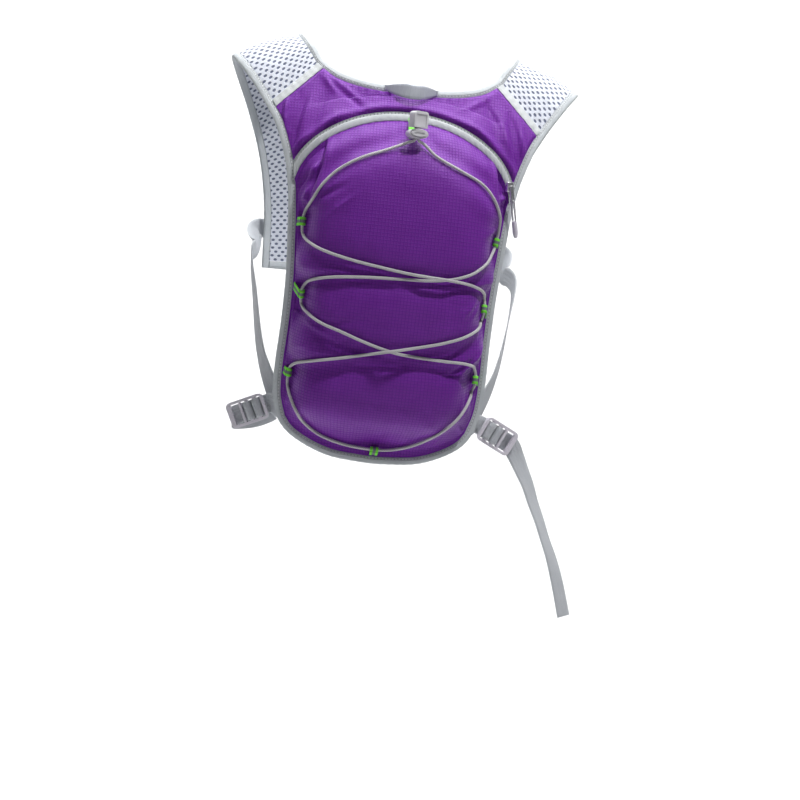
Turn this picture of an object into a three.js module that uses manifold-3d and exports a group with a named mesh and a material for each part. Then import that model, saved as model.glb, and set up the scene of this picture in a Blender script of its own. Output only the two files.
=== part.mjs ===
// Running hydration vest, worn form.
// Millimetres. +Z is up, -Y is the pack side, +X is the wearer's right hand side seen from behind.
// The origin lies between the two shoulder crests, level with their neck ends.
import * as THREE from 'three';
import { mergeVertices } from 'three/addons/utils/BufferGeometryUtils.js';
import Module from 'manifold-3d';

const wasm = await Module();
wasm.setup();

// Driving sizes of the pack
const packHeight = 424;
const packHalf = 104;
const necklineDrop = 48;
const bladeDepth = 104;
const wrapDepth = 28;
const panelThickness = 3;
const clothThickness = 1.2;
const pocketPuff = 40;
const pocketReach = 70;
const zipRise = 9;
const zipDown = 79;
const zipHalf = 115;
const zipDrop = 87;
const zipWidth = 9;

// Driving sizes of the shoulders
const crestHalf = 106;
const crestArm = 178;
const crestSlope = 0.43;
const chestDepth = 108;
const yokeThickness = 3.5;
const yokeBow = 4;
const ribbonWidth = 7;
const ribbonThickness = 1.6;

// Driving sizes of edges, straps and hardware
const bindingWidth = 8;
const bindingThickness = 6;
const bindingUnder = 0.6;
const webbingWidth = 20;
const webbingThickness = 1.5;
const chestWebbing = 15;
const buckleLength = 40;
const buckleWidth = 27;
const buckleThickness = 4;
const buckleCorner = 5;
const cordDiameter = 3;
const tabWidth = 8.4;
const tabThickness = 1.2;
const lockWidth = 20;
const lockHeight = 10;
const lockDepth = 13.5;
const lockWall = 1.6;
const lockTravel = 2.5;
const endWidth = 16;
const endHeight = 16;
const endDepth = 10;
const haulWidth = 13;
const haulHalf = 26;
const haulBulge = 20;
const clearance = 0.3;
const layerGap = 0.6;

const cordRadius = cordDiameter / 2;
const bindingTop = bindingThickness - bindingUnder;

// Colours read from the object, and how each material takes light
const looks = {
  ripstop: { color: 0x6e2fa8, roughness: 0.55, metalness: 0 },
  spacer: { color: 0xa9adb6, roughness: 0.95, metalness: 0 },
  airMesh: { color: 0xdfe3ee, roughness: 0.9, metalness: 0 },
  binding: { color: 0xbfc4c8, roughness: 0.75, metalness: 0 },
  satin: { color: 0xb9bcc6, roughness: 0.4, metalness: 0 },
  webbing: { color: 0xd2d6da, roughness: 0.8, metalness: 0 },
  neon: { color: 0x7dee41, roughness: 0.7, metalness: 0 },
  cord: { color: 0xa5a3a5, roughness: 0.7, metalness: 0 },
  lock: { color: 0xcdcbcd, roughness: 0.45, metalness: 0 },
  buckle: { color: 0xe1dce6, roughness: 0.3, metalness: 0 },
  metal: { color: 0xb8b8bc, roughness: 0.35, metalness: 1 },
};

const vest = new THREE.Group();

function addPiece(name, geometry, look) {
  const mesh = new THREE.Mesh(geometry, new THREE.MeshStandardMaterial(looks[look]));
  mesh.name = name;
  vest.add(mesh);
  return mesh;
}

// Small helpers for points and curves
const vec = (x, y, z) => new THREE.Vector3(x, y, z);
const mixed = (a, b, t) => a.clone().lerp(b, t);
const mirrored = (p) => vec(-p.x, p.y, p.z);
const range = (n) => Array.from({ length: n }, (_, i) => i);
const clamp = (t) => Math.min(1, Math.max(0, t));
const eased = (t) => clamp(t) * clamp(t) * (3 - 2 * clamp(t));

// Place of a straight line from a to b that lies nearest to another place
function nearestOn(a, b, place) {
  const run = b.clone().sub(a);
  return mixed(a, b, clamp(place.clone().sub(a).dot(run) / run.lengthSq()));
}

// Smooth value of one column of a table, read at a place in another column
function fromTable(rows, placeColumn, valueColumn, place) {
  const last = rows.length - 1;
  const at = (i) => rows[Math.min(last, Math.max(0, i))];
  if (place <= at(0)[placeColumn]) return at(0)[valueColumn];
  if (place >= at(last)[placeColumn]) return at(last)[valueColumn];
  const i = rows.findIndex((row) => row[placeColumn] > place) - 1;
  const span = at(i + 1)[placeColumn] - at(i)[placeColumn];
  const t = (place - at(i)[placeColumn]) / span;
  const slope = (j) => {
    const run = at(j + 1)[placeColumn] - at(j - 1)[placeColumn];
    return ((at(j + 1)[valueColumn] - at(j - 1)[valueColumn]) / run) * span;
  };
  const [a, b] = [at(i)[valueColumn], at(i + 1)[valueColumn]];
  const square = t * t;
  const cube = square * t;
  const start = (2 * cube - 3 * square + 1) * a + (cube - 2 * square + t) * slope(i);
  return start + (3 * square - 2 * cube) * b + (cube - square) * slope(i + 1);
}

// Closed solids from lists of points
function closedGeometry(points, triangles) {
  const geometry = new THREE.BufferGeometry();
  const numbers = points.flatMap((p) => [p.x, p.y, p.z]);
  geometry.setAttribute('position', new THREE.Float32BufferAttribute(numbers, 3));
  let volume = 0;
  for (const [a, b, c] of triangles) {
    volume += points[a].dot(points[b].clone().cross(points[c]));
  }
  const facing = volume < 0 ? triangles.map(([a, b, c]) => [a, c, b]) : triangles;
  geometry.setIndex(facing.flat());
  geometry.computeVertexNormals();
  return geometry;
}

// Wall between two grids of points with as many rows and columns
function wallBetween(outer, inner) {
  const rows = outer.length;
  const columns = outer[0].length;
  const points = [...outer.flat(), ...inner.flat()];
  const shift = rows * columns;
  const at = (r, c) => r * columns + c;
  const triangles = [];
  const quad = (a, b, c, d) => triangles.push([a, b, c], [a, c, d]);
  for (let r = 0; r < rows - 1; r += 1) {
    for (let c = 0; c < columns - 1; c += 1) {
      quad(at(r, c), at(r, c + 1), at(r + 1, c + 1), at(r + 1, c));
      quad(shift + at(r, c), shift + at(r + 1, c), shift + at(r + 1, c + 1), shift + at(r, c + 1));
    }
  }
  for (let c = 0; c < columns - 1; c += 1) {
    const low = rows - 1;
    quad(at(0, c + 1), at(0, c), shift + at(0, c), shift + at(0, c + 1));
    quad(at(low, c), at(low, c + 1), shift + at(low, c + 1), shift + at(low, c));
  }
  for (let r = 0; r < rows - 1; r += 1) {
    const far = columns - 1;
    quad(at(r, 0), at(r + 1, 0), shift + at(r + 1, 0), shift + at(r, 0));
    quad(at(r + 1, far), at(r, far), shift + at(r, far), shift + at(r + 1, far));
  }
  return closedGeometry(points, triangles);
}

// Bar through a row of closed sections with as many points, capped at both ends
function barThrough(sections) {
  const sides = sections[0].length;
  const points = sections.flat();
  const triangles = [];
  for (let s = 0; s < sections.length - 1; s += 1) {
    for (let k = 0; k < sides; k += 1) {
      const a = s * sides + k;
      const b = s * sides + ((k + 1) % sides);
      triangles.push([a, b, b + sides], [a, b + sides, a + sides]);
    }
  }
  const end = (sections.length - 1) * sides;
  for (let k = 1; k < sides - 1; k += 1) {
    triangles.push([0, k + 1, k], [end, end + k, end + k + 1]);
  }
  return closedGeometry(points, triangles);
}

function tangents(points) {
  const last = points.length - 1;
  return points.map((p, i) => {
    const [before, after] = [points[Math.max(i - 1, 0)], points[Math.min(i + 1, last)]];
    return after.clone().sub(before).normalize();
  });
}

// Round cord through points, its rings carried along without twist
function roundCord(points, radius, sides) {
  const along = tangents(points);
  let side = vec(0, 0, 1).cross(along[0]);
  if (side.length() < 0.2) side = vec(1, 0, 0).cross(along[0]);
  const sections = points.map((p, i) => {
    side = side.clone().addScaledVector(along[i], -side.dot(along[i])).normalize();
    const up = along[i].clone().cross(side);
    return range(sides).map((k) => {
      const angle = (2 * Math.PI * k) / sides;
      return p.clone()
        .addScaledVector(side, radius * Math.cos(angle))
        .addScaledVector(up, radius * Math.sin(angle));
    });
  });
  return barThrough(sections);
}

// Flat strap through stations { point, across }, mitred at its bends
const leastMitre = 0.5;

function flatStrap(stations, width, thickness) {
  const points = stations.map((s) => s.point);
  const along = tangents(points);
  const sections = stations.map((station, i) => {
    const lean = station.across.dot(along[i]);
    const across = station.across.clone().addScaledVector(along[i], -lean).normalize();
    const normal = along[i].clone().cross(across);
    const k = Math.min(i, points.length - 2);
    const next = points[k + 1].clone().sub(points[k]).normalize();
    const mitre = Math.max(leastMitre, Math.abs(next.dot(along[i])));
    const corner = (w, t) => points[i].clone()
      .addScaledVector(across, (w * width) / 2).addScaledVector(normal, (t * thickness) / 2 / mitre);
    return [corner(-1, -1), corner(1, -1), corner(1, 1), corner(-1, 1)];
  });
  return barThrough(sections);
}

// Booleans on closed geometries
function toManifold(geometry) {
  const bare = geometry.clone();
  bare.deleteAttribute('normal');
  bare.deleteAttribute('uv');
  const merged = mergeVertices(bare, 1e-4);
  return new wasm.Manifold(new wasm.Mesh({
    numProp: 3,
    vertProperties: new Float32Array(merged.attributes.position.array),
    triVerts: new Uint32Array(merged.index.array),
  }));
}

function fromManifold(manifold) {
  const mesh = manifold.getMesh();
  const geometry = new THREE.BufferGeometry();
  geometry.setAttribute('position', new THREE.BufferAttribute(new Float32Array(mesh.vertProperties), 3));
  geometry.setIndex(new THREE.BufferAttribute(new Uint32Array(mesh.triVerts), 1));
  geometry.computeVertexNormals();
  return geometry;
}

function cut(geometry, ...tools) {
  return fromManifold(tools.reduce((body, tool) => body.subtract(toManifold(tool)), toManifold(geometry)));
}

// Flat rounded rectangle about its middle
function roundedShape(length, width, radius, steps) {
  const quarters = [[1, -1, -90], [1, 1, 0], [-1, 1, 90], [-1, -1, 180]];
  return new THREE.Shape(quarters.flatMap(([x, y, from]) => range(steps + 1).map((i) => {
    const angle = THREE.MathUtils.degToRad(from + (90 * i) / steps);
    const middle = new THREE.Vector2(x * (length / 2 - radius), y * (width / 2 - radius));
    return middle.add(new THREE.Vector2(Math.cos(angle), Math.sin(angle)).multiplyScalar(radius));
  })));
}

function extruded(shape, depth, curveSegments) {
  return new THREE.ExtrudeGeometry(shape, { depth, bevelEnabled: false, curveSegments });
}

function boxAt(width, depth, height, centre) {
  return new THREE.BoxGeometry(width, depth, height).translate(centre.x, centre.y, centre.z);
}

// The wearer's back: how far the spine line and the sides lie from the frame's middle plane
const spineRows = [
  { down: 0.05, depth: 0.52 },
  { down: 0.11, depth: 0.64 },
  { down: 0.236, depth: 0.87 },
  { down: 0.425, depth: 1.0 },
  { down: 0.59, depth: 0.96 },
  { down: 0.755, depth: 0.83 },
  { down: 0.896, depth: 0.69 },
  { down: 1.0, depth: 0.61 },
  { down: 1.12, depth: 0.57 },
];
const wrapRows = [
  { down: 0.08, wrap: 0 },
  { down: 0.236, wrap: 0.35 },
  { down: 0.39, wrap: 0.72 },
  { down: 0.57, wrap: 0.93 },
  { down: 1.0, wrap: 1.0 },
];
const wrapPower = 2.4;
const shoulderFade = 55;
const shoulderLeast = 4;

function backDepth(x, z) {
  const across = Math.abs(x);
  const down = -z / packHeight;
  const belowCrest = Math.max(shoulderLeast, -crestSlope * (across - crestHalf) - z);
  const belowNeck = crestSlope * crestHalf - z;
  const shoulder = (1 - Math.exp(-belowCrest / shoulderFade)) / (1 - Math.exp(-belowNeck / shoulderFade));
  const spine = bladeDepth * fromTable(spineRows, 'down', 'depth', down);
  const wrap = wrapDepth * fromTable(wrapRows, 'down', 'wrap', down);
  return -spine * shoulder + wrap * (across / packHalf) ** wrapPower;
}

// Outward direction of the back surface
function backNormal(x, z) {
  const step = 2;
  const slopeX = (backDepth(x + step, z) - backDepth(x - step, z)) / (2 * step);
  const slopeZ = (backDepth(x, z + step) - backDepth(x, z - step)) / (2 * step);
  return vec(slopeX, -1, slopeZ).normalize();
}

// Point above the back surface, over the flat place (x, z)
function overBack(place, lift) {
  const onSurface = vec(place.x, backDepth(place.x, place.z), place.z);
  return onSurface.addScaledVector(backNormal(place.x, place.z), lift);
}

// Right hand outline of the pack, from the shoulder seam round to the middle of the bottom edge
const outlineRows = [
  { place: 'seam', half: 1.346, down: 0.189, spans: 2 },
  { place: 'armhole', half: 1.25, down: 0.229, spans: 1 },
  { place: 'armhole', half: 1.173, down: 0.276, spans: 1 },
  { place: 'zip_top', half: 1.12, down: 0.316, spans: 1 },
  { place: 'zip_bottom', half: 1.085, down: 0.3585, spans: 1 },
  { place: 'side', half: 1.062, down: 0.394, spans: 2 },
  { place: 'side', half: 1.035, down: 0.472, spans: 3 },
  { place: 'side', half: 1.005, down: 0.578, spans: 3 },
  { place: 'side', half: 1.0, down: 0.684, spans: 3 },
  { place: 'side', half: 1.01, down: 0.802, spans: 2 },
  { place: 'side', half: 0.99, down: 0.866, spans: 1 },
  { place: 'corner', half: 0.928, down: 0.915, spans: 1 },
  { place: 'bottom', half: 0.837, down: 0.943, spans: 2 },
  { place: 'bottom', half: 0.625, down: 0.974, spans: 2 },
  { place: 'bottom', half: 0.385, down: 0.993, spans: 2 },
  { place: 'middle', half: 0, down: 1.0, spans: 0 },
];
const necklineRows = [
  { half: 0, drop: 1.0, spans: 2 },
  { half: 0.24, drop: 0.99, spans: 2 },
  { half: 0.48, drop: 0.93, spans: 2 },
  { half: 0.69, drop: 0.79, spans: 1 },
  { half: 0.846, drop: 0.56, spans: 0 },
];

// Stations of a smooth line through table rows, each row with its own number of facets
function stationsThrough(points, spans) {
  const curve = new THREE.CatmullRomCurve3(points, false, 'centripetal');
  const stations = [];
  const starts = [];
  for (let i = 0; i < points.length - 1; i += 1) {
    starts.push(stations.length);
    for (let s = 0; s < spans[i]; s += 1) {
      stations.push(curve.getPoint((i + s / spans[i]) / (points.length - 1)));
    }
  }
  starts.push(stations.length);
  stations.push(points[points.length - 1].clone());
  return { stations, starts };
}

const outlineRun = stationsThrough(
  outlineRows.map((row) => vec(row.half * packHalf, 0, -row.down * packHeight)),
  outlineRows.map((row) => row.spans),
);
const necklineRun = stationsThrough(
  necklineRows.map((row) => vec(row.half * packHalf, 0, -row.drop * necklineDrop)),
  necklineRows.map((row) => row.spans),
);
const outlineStart = (place) => outlineRun.starts[outlineRows.findIndex((row) => row.place === place)];
const zipTopStation = outlineStart('zip_top');
const zipBottomStation = outlineStart('zip_bottom');
const cornerStation = outlineStart('corner');

const seamNeck = necklineRun.stations[necklineRun.stations.length - 1];
const seamArm = outlineRun.stations[0];
const seamAlong = seamArm.clone().sub(seamNeck).normalize();
const seamInto = vec(seamAlong.z, 0, -seamAlong.x);

// Inward step at each station of a flat line, with the step at one end set by the seam or the middle line
function inwardSteps(points, turn, firstStep, lastStep) {
  return points.map((p, i) => {
    const before = points[Math.max(i - 1, 0)];
    const after = points[Math.min(i + 1, points.length - 1)];
    const along = after.clone().sub(before).normalize();
    const normal = vec(along.z * turn, 0, -along.x * turn);
    if (i === 0) return firstStep.clone();
    if (i === points.length - 1) return lastStep.clone();
    const segment = after.clone().sub(p).lengthSq() > 0 ? after.clone().sub(p).normalize() : along;
    return normal.divideScalar(Math.max(0.8, segment.dot(along)));
  });
}

const outlineSteps = inwardSteps(outlineRun.stations, 1, seamAlong.clone().negate(), vec(0, 0, 1));
const necklineSteps = inwardSteps(necklineRun.stations, 1, vec(0, 0, -1), seamAlong);

function stepped(points, steps, distance) {
  return points.map((p, i) => p.clone().addScaledVector(steps[i], distance));
}

const panelInset = bindingWidth + clearance;
const sideLine = stepped(outlineRun.stations, outlineSteps, panelInset);
const neckLine = stepped(necklineRun.stations, necklineSteps, panelInset);

// Point of a line where it lies a given distance into the pack from the seam
function seamCut(line, fromSeam, distance) {
  const depth = (p) => p.clone().sub(seamNeck).dot(seamInto);
  const order = fromSeam === 'start' ? line : [...line].reverse();
  const i = order.findIndex((p) => depth(p) > distance);
  const [a, b] = [order[i - 1], order[i]];
  return mixed(a, b, (distance - depth(a)) / (depth(b) - depth(a)));
}

// Flat place inside four sides given as equal runs of points
function coonsGrid(top, bottom, left, right, across, down) {
  const along = (line, t) => {
    const at = t * (line.length - 1);
    const i = Math.min(line.length - 2, Math.floor(at));
    return mixed(line[i], line[i + 1], at - i);
  };
  const [topLeft, topRight] = [top[0], top[top.length - 1]];
  const [bottomLeft, bottomRight] = [bottom[0], bottom[bottom.length - 1]];
  return down.map((v) => across.map((u) => {
    const ruled = mixed(along(top, u), along(bottom, u), v).add(mixed(along(left, v), along(right, v), u));
    return ruled.sub(mixed(mixed(topLeft, topRight, u), mixed(bottomLeft, bottomRight, u), v));
  }));
}

const bothSides = (half) => [...half.slice(1).reverse().map(mirrored), ...half];
const evenSteps = (n) => range(n + 1).map((i) => i / n);

// Sides of the panels below the seam, to a station of the outline
function panelSide(distance, lastStation) {
  const neckEnd = seamCut(neckLine, 'end', distance);
  const armEnd = seamCut(sideLine, 'start', distance);
  const seamSpans = 3;
  const seam = range(seamSpans).map((i) => mixed(neckEnd, armEnd, i / seamSpans));
  return [...seam, armEnd, ...sideLine.slice(1, lastStation + 1)];
}

function panelTop(distance) {
  return bothSides([...neckLine.slice(0, -1), seamCut(neckLine, 'end', distance)]);
}

// Folds and gathers of the purple cloth: place, run and turn of each ridge or crease,
// in millimetres and degrees
const foldRows = [
  { across: -0.86, down: 0.215, length: 62, width: 7, height: -4.0, turn: 78 },
  { across: -0.72, down: 0.235, length: 56, width: 6, height: 2.6, turn: 70 },
  { across: -0.98, down: 0.262, length: 44, width: 6, height: 2.4, turn: 82 },
  { across: -0.52, down: 0.2, length: 40, width: 7, height: -2.2, turn: 62 },
  { across: 0.84, down: 0.225, length: 52, width: 7, height: -3.0, turn: -76 },
  { across: 0.62, down: 0.205, length: 44, width: 7, height: 2.0, turn: -64 },
  { across: -0.62, down: 0.345, length: 46, width: 8, height: -3.0, turn: 52 },
  { across: 0.72, down: 0.36, length: 46, width: 8, height: -3.0, turn: -50 },
  { across: 0.78, down: 0.66, length: 62, width: 8, height: 3.0, turn: 78 },
  { across: 0.66, down: 0.8, length: 54, width: 8, height: -3.0, turn: 74 },
  { across: -0.8, down: 0.7, length: 44, width: 8, height: -3.0, turn: -72 },
  { across: -0.7, down: 0.88, length: 40, width: 8, height: 2.6, turn: 40 },
  { across: 0.5, down: 0.9, length: 40, width: 8, height: 2.6, turn: -36 },
];

function foldLift(place) {
  return foldRows.reduce((sum, fold) => {
    const turn = THREE.MathUtils.degToRad(fold.turn);
    const dx = place.x - fold.across * packHalf;
    const dz = place.z + fold.down * packHeight;
    const along = dx * Math.cos(turn) + dz * Math.sin(turn);
    const aside = -dx * Math.sin(turn) + dz * Math.cos(turn);
    const run = Math.exp(-((along / fold.length) ** 2) * 4);
    return sum + fold.height * run * Math.exp(-((aside / fold.width) ** 2));
  }, 0);
}

// Route of the elastic cord over the pocket, in millimetres on a pack of the drawn size,
// from the middle line and from the crest. A loop name marks the two ends of the straight
// stretch inside a ribbon loop; over lifts a crossing strand.
const drawnHalf = 104;
const drawnHeight = 424;
const drawnRoute = [
  { x: -4, z: -106, over: 4 },
  { x: -22, z: -114.6 },
  { x: -50, z: -126.9 },
  { x: -70, z: -140.7 },
  { x: -83, z: -156 },
  { x: -90, z: -170 },
  { x: -94.6, z: -181 },
  { x: -96, z: -187.5, loop: 'upper_left' },
  { x: -96.2, z: -196.5, loop: 'upper_left' },
  { x: -95, z: -203.5 },
  { x: -89.5, z: -212 },
  { x: -76.5, z: -219 },
  { x: -50.5, z: -225.5 },
  { x: -19, z: -230.3 },
  { x: 12, z: -234, over: 1.5 },
  { x: 28, z: -235, over: 4.4 },
  { x: 49, z: -236, over: 4.4 },
  { x: 64, z: -237, over: 3 },
  { x: 75, z: -238.6 },
  { x: 86, z: -242 },
  { x: 91.4, z: -248.5 },
  { x: 92.4, z: -254.5, loop: 'middle_right' },
  { x: 92.2, z: -263.5, loop: 'middle_right' },
  { x: 91, z: -271 },
  { x: 85.5, z: -280.5 },
  { x: 70.5, z: -290 },
  { x: 50.5, z: -297.6 },
  { x: 26, z: -304.3 },
  { x: 12, z: -307.8, over: 3.6 },
  { x: -0.5, z: -310.8, over: 4.4 },
  { x: -14, z: -314, over: 3 },
  { x: -32, z: -318.4 },
  { x: -56, z: -323.9 },
  { x: -78, z: -328.6 },
  { x: -89, z: -332.4 },
  { x: -92.6, z: -337, loop: 'lower_left' },
  { x: -93.4, z: -346, loop: 'lower_left' },
  { x: -92.6, z: -354 },
  { x: -89, z: -367 },
  { x: -82, z: -380 },
  { x: -72, z: -390.5 },
  { x: -57, z: -400 },
  { x: -37.5, z: -406.2 },
  { x: -19, z: -409 },
  { x: -4.5, z: -409.8, loop: 'bottom' },
  { x: 4.5, z: -409.8, loop: 'bottom' },
  { x: 17, z: -408.4 },
  { x: 34, z: -403.4 },
  { x: 52, z: -393.7 },
  { x: 67.5, z: -381 },
  { x: 79.5, z: -367 },
  { x: 88, z: -351 },
  { x: 91.8, z: -341 },
  { x: 92.8, z: -334.5, loop: 'lower_right' },
  { x: 92.7, z: -325.5, loop: 'lower_right' },
  { x: 90.6, z: -319.5 },
  { x: 84, z: -316.2 },
  { x: 74, z: -315 },
  { x: 55, z: -314.8 },
  { x: 31, z: -314 },
  { x: 9, z: -312.4 },
  { x: -7, z: -309.4 },
  { x: -27, z: -304 },
  { x: -51, z: -296.1 },
  { x: -70, z: -289.8 },
  { x: -83, z: -281.4 },
  { x: -88.6, z: -273 },
  { x: -90, z: -267.5, loop: 'middle_left' },
  { x: -90, z: -258.5, loop: 'middle_left' },
  { x: -87.4, z: -252.6 },
  { x: -80.5, z: -248 },
  { x: -64, z: -244.4 },
  { x: -33.5, z: -241.4 },
  { x: -2, z: -239.8 },
  { x: 28, z: -238.4 },
  { x: 49, z: -235.4 },
  { x: 60, z: -232.4 },
  { x: 73, z: -226.6 },
  { x: 85.5, z: -216 },
  { x: 93, z: -204.6 },
  { x: 96.6, z: -196.4, loop: 'upper_right' },
  { x: 98, z: -187.6, loop: 'upper_right' },
  { x: 98.4, z: -178 },
  { x: 96.6, z: -166.5 },
  { x: 87, z: -150.3 },
  { x: 74, z: -138.5 },
  { x: 50, z: -128 },
  { x: 25, z: -116.6 },
  { x: 12, z: -106, over: 4 },
];
const cordRoute = drawnRoute.map((row) => ({
  ...row,
  x: row.x * (packHalf / drawnHalf),
  z: row.z * (packHeight / drawnHeight),
}));
const grooveDepth = 3;
const grooveWidth = 9;
const loopDent = 17;
const loopHold = 0.8;

function grooveLift(place) {
  let nearest = Infinity;
  for (let i = 0; i < cordRoute.length - 1; i += 1) {
    const a = vec(cordRoute[i].x, 0, cordRoute[i].z);
    const b = vec(cordRoute[i + 1].x, 0, cordRoute[i + 1].z);
    nearest = Math.min(nearest, nearestOn(a, b, place).distanceTo(place));
  }
  return -grooveDepth * Math.exp(-((nearest / grooveWidth) ** 2));
}

// Share of the pocket's swell that is left beside the ribbon loops, where the tight cord holds it down
function looped(place) {
  const held = cordRoute.filter((row) => row.loop).map((row) => {
    const distance = Math.hypot(place.x - row.x, place.z - row.z);
    return Math.exp(-((distance / loopDent) ** 2));
  });
  return 1 - loopHold * Math.max(...held);
}

// Rise of a swelling cloth at a distance from the edge that holds it
function swell(distance, reach) {
  return 1 - (1 - clamp(distance / reach)) ** 2.2;
}

// Flat lines of the zip band, which follow two ellipses with one centre
function zipLine(inset, endPlace) {
  const [a, b] = [zipHalf - inset, zipDrop - inset];
  const endAngle = Math.asin(clamp(endPlace.x / a));
  const columns = 2 * (outlineRun.stations.length - 1 - cornerStation);
  const sag = endPlace.z + zipDown + zipDrop - b * Math.cos(endAngle);
  return range(columns + 1).map((i) => {
    const share = (2 * i) / columns - 1;
    const angle = share * endAngle;
    return vec(a * Math.sin(angle), 0, -zipDown - zipDrop + b * Math.cos(angle) + sag * share ** 4);
  });
}

const zipTopEnd = sideLine[zipTopStation];
const zipBottomEnd = sideLine[zipBottomStation];
const zipCut = clearance / zipTopEnd.distanceTo(zipBottomEnd) * 1.3;
const zipUpperLine = zipLine(0, zipTopEnd);
const zipLowerLine = zipLine(zipWidth, zipBottomEnd);

// Share of the zip's rise at a flat place: the band lies flat where it meets the side bindings
const zipShare = (place) => swell(zipTopEnd.x - Math.abs(place.x), pocketReach / 2);

function gridOver(places, lift) {
  return places.map((row, r) => row.map((place, c) => overBack(place, lift(place, r, c))));
}

function backPanel() {
  const side = panelSide(clearance, cornerStation);
  const bottom = bothSides([...sideLine.slice(cornerStation)].reverse());
  const top = panelTop(clearance);
  const [across, down] = [evenSteps(top.length - 1), evenSteps(side.length - 1)];
  const places = coonsGrid(top, bottom, side.map(mirrored), side, across, down);
  const wall = wallBetween(gridOver(places, () => panelThickness), gridOver(places, () => 0));
  addPiece('back_panel', wall, 'spacer');
}

const clothBase = panelThickness + layerGap;
const skins = [];

function upperPanel() {
  const distance = ribbonWidth + 2 * clearance;
  const side = panelSide(distance, zipTopStation);
  const top = panelTop(distance);
  const [across, down] = [evenSteps(top.length - 1), evenSteps(side.length - 1)];
  const places = coonsGrid(top, zipUpperLine, side.map(mirrored), side, across, down);
  const rows = places.length - 1;
  const ease = 1.5;
  const foldShare = 0.8;
  const rise = (place, r, c) => {
    const inner = Math.min(c, places[0].length - 1 - c) > 0 && r > 0 && r < rows;
    const dressed = inner ? ease + foldLift(place) * foldShare : 0;
    return zipRise * zipShare(place) * (r / rows) ** 3 + dressed;
  };
  const outer = gridOver(places, (p, r, c) => clothBase + clothThickness + Math.max(0, rise(p, r, c)));
  const inner = gridOver(places, (p, r, c) => clothBase + Math.max(0, rise(p, r, c)));
  skins.push(outer);
  addPiece('upper_panel', wallBetween(outer, inner), 'ripstop');
}

function zipTape() {
  const end = (share) => mixed(zipTopEnd, zipBottomEnd, share);
  const upper = zipUpperLine.map((p, i) => mixed(p, zipLowerLine[i], clearance / zipWidth));
  const lower = zipUpperLine.map((p, i) => mixed(p, zipLowerLine[i], 1 - clearance / zipWidth));
  for (const line of [upper, lower]) {
    const corner = end(line === upper ? zipCut : 1 - zipCut);
    line[0] = mirrored(corner);
    line[line.length - 1] = corner;
  }
  const across = [0, 0.14, 0.5, 0.86, 1];
  const relief = [0, 0.5, -0.2, 0.5, 0];
  const places = across.map((share) => upper.map((p, i) => mixed(p, lower[i], share)));
  const level = (place) => clothBase + zipRise * zipShare(place) + 0.3;
  const outer = gridOver(places, (p, r) => level(p) + ribbonThickness + relief[r]);
  const inner = gridOver(places, (p) => level(p));
  skins.push(outer);
  addPiece('zip_tape', wallBetween(outer, inner), 'binding');
}

function pocketShell() {
  const side = sideLine.slice(zipBottomStation, cornerStation + 1);
  const bottom = bothSides([...sideLine.slice(cornerStation)].reverse());
  const rim = 0.28;
  const columns = bottom.length - 1;
  const rows = side.length - 1;
  const wholes = evenSteps(columns).slice(1, -1);
  const across = [0, rim / columns, ...wholes, 1 - rim / columns, 1];
  const halves = evenSteps(2 * rows).slice(1, -1).filter((t, i) => i % 4 !== 0 || i < 4);
  const down = [0, rim / rows, ...halves, 1 - rim / rows, 1];
  const places = coonsGrid(zipLowerLine, bottom, side.map(mirrored), side, across, down);
  const width = 2 * packHalf;
  const height = packHeight - zipDown - zipWidth;
  const dressReach = 14;
  const rise = (r, c) => {
    const place = places[r][c];
    const fromSide = Math.min(across[c], 1 - across[c]) * width - rim * width / columns;
    const fromBottom = (1 - down[r]) * height - rim * height / rows;
    const fromTop = down[r] * height;
    const sideShare = swell(fromSide, pocketReach);
    const full = pocketPuff * sideShare * swell(fromBottom, pocketReach);
    const start = zipRise * zipShare(place) * Math.min(1, fromBottom);
    const fromEdge = Math.min(fromSide, fromBottom, fromTop);
    const dressed = (foldLift(place) + grooveLift(place)) * eased(fromEdge / dressReach);
    return Math.max(0, start + (full * looped(place) - start) * swell(fromTop, pocketReach) + dressed);
  };
  const lifts = places.map((row, r) => row.map((p, c) => clothBase + clothThickness + rise(r, c)));
  const outer = gridOver(places, (p, r, c) => lifts[r][c]);
  const steepest = 2.2;
  const steep = (r, c) => {
    const near = (a, b) => {
      const run = places[a[0]][a[1]].distanceTo(places[b[0]][b[1]]);
      return run > 0 ? (lifts[a[0]][a[1]] - lifts[b[0]][b[1]]) / run : 0;
    };
    const slopeAcross = near([r, Math.min(c + 1, across.length - 1)], [r, Math.max(c - 1, 0)]);
    const slopeDown = near([Math.min(r + 1, down.length - 1), c], [Math.max(r - 1, 0), c]);
    return Math.min(steepest, Math.hypot(1, slopeAcross, slopeDown));
  };
  const edge = (r, c) => r === 0 || c === 0 || r === down.length - 1 || c === across.length - 1;
  const inner = gridOver(places, (p, r, c) => {
    const wall = clothThickness * (edge(r, c) ? 1 : steep(r, c));
    return Math.max(clothBase, lifts[r][c] - wall);
  });
  skins.push(outer);
  addPiece('pocket_shell', wallBetween(outer, inner), 'ripstop');
}

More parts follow.
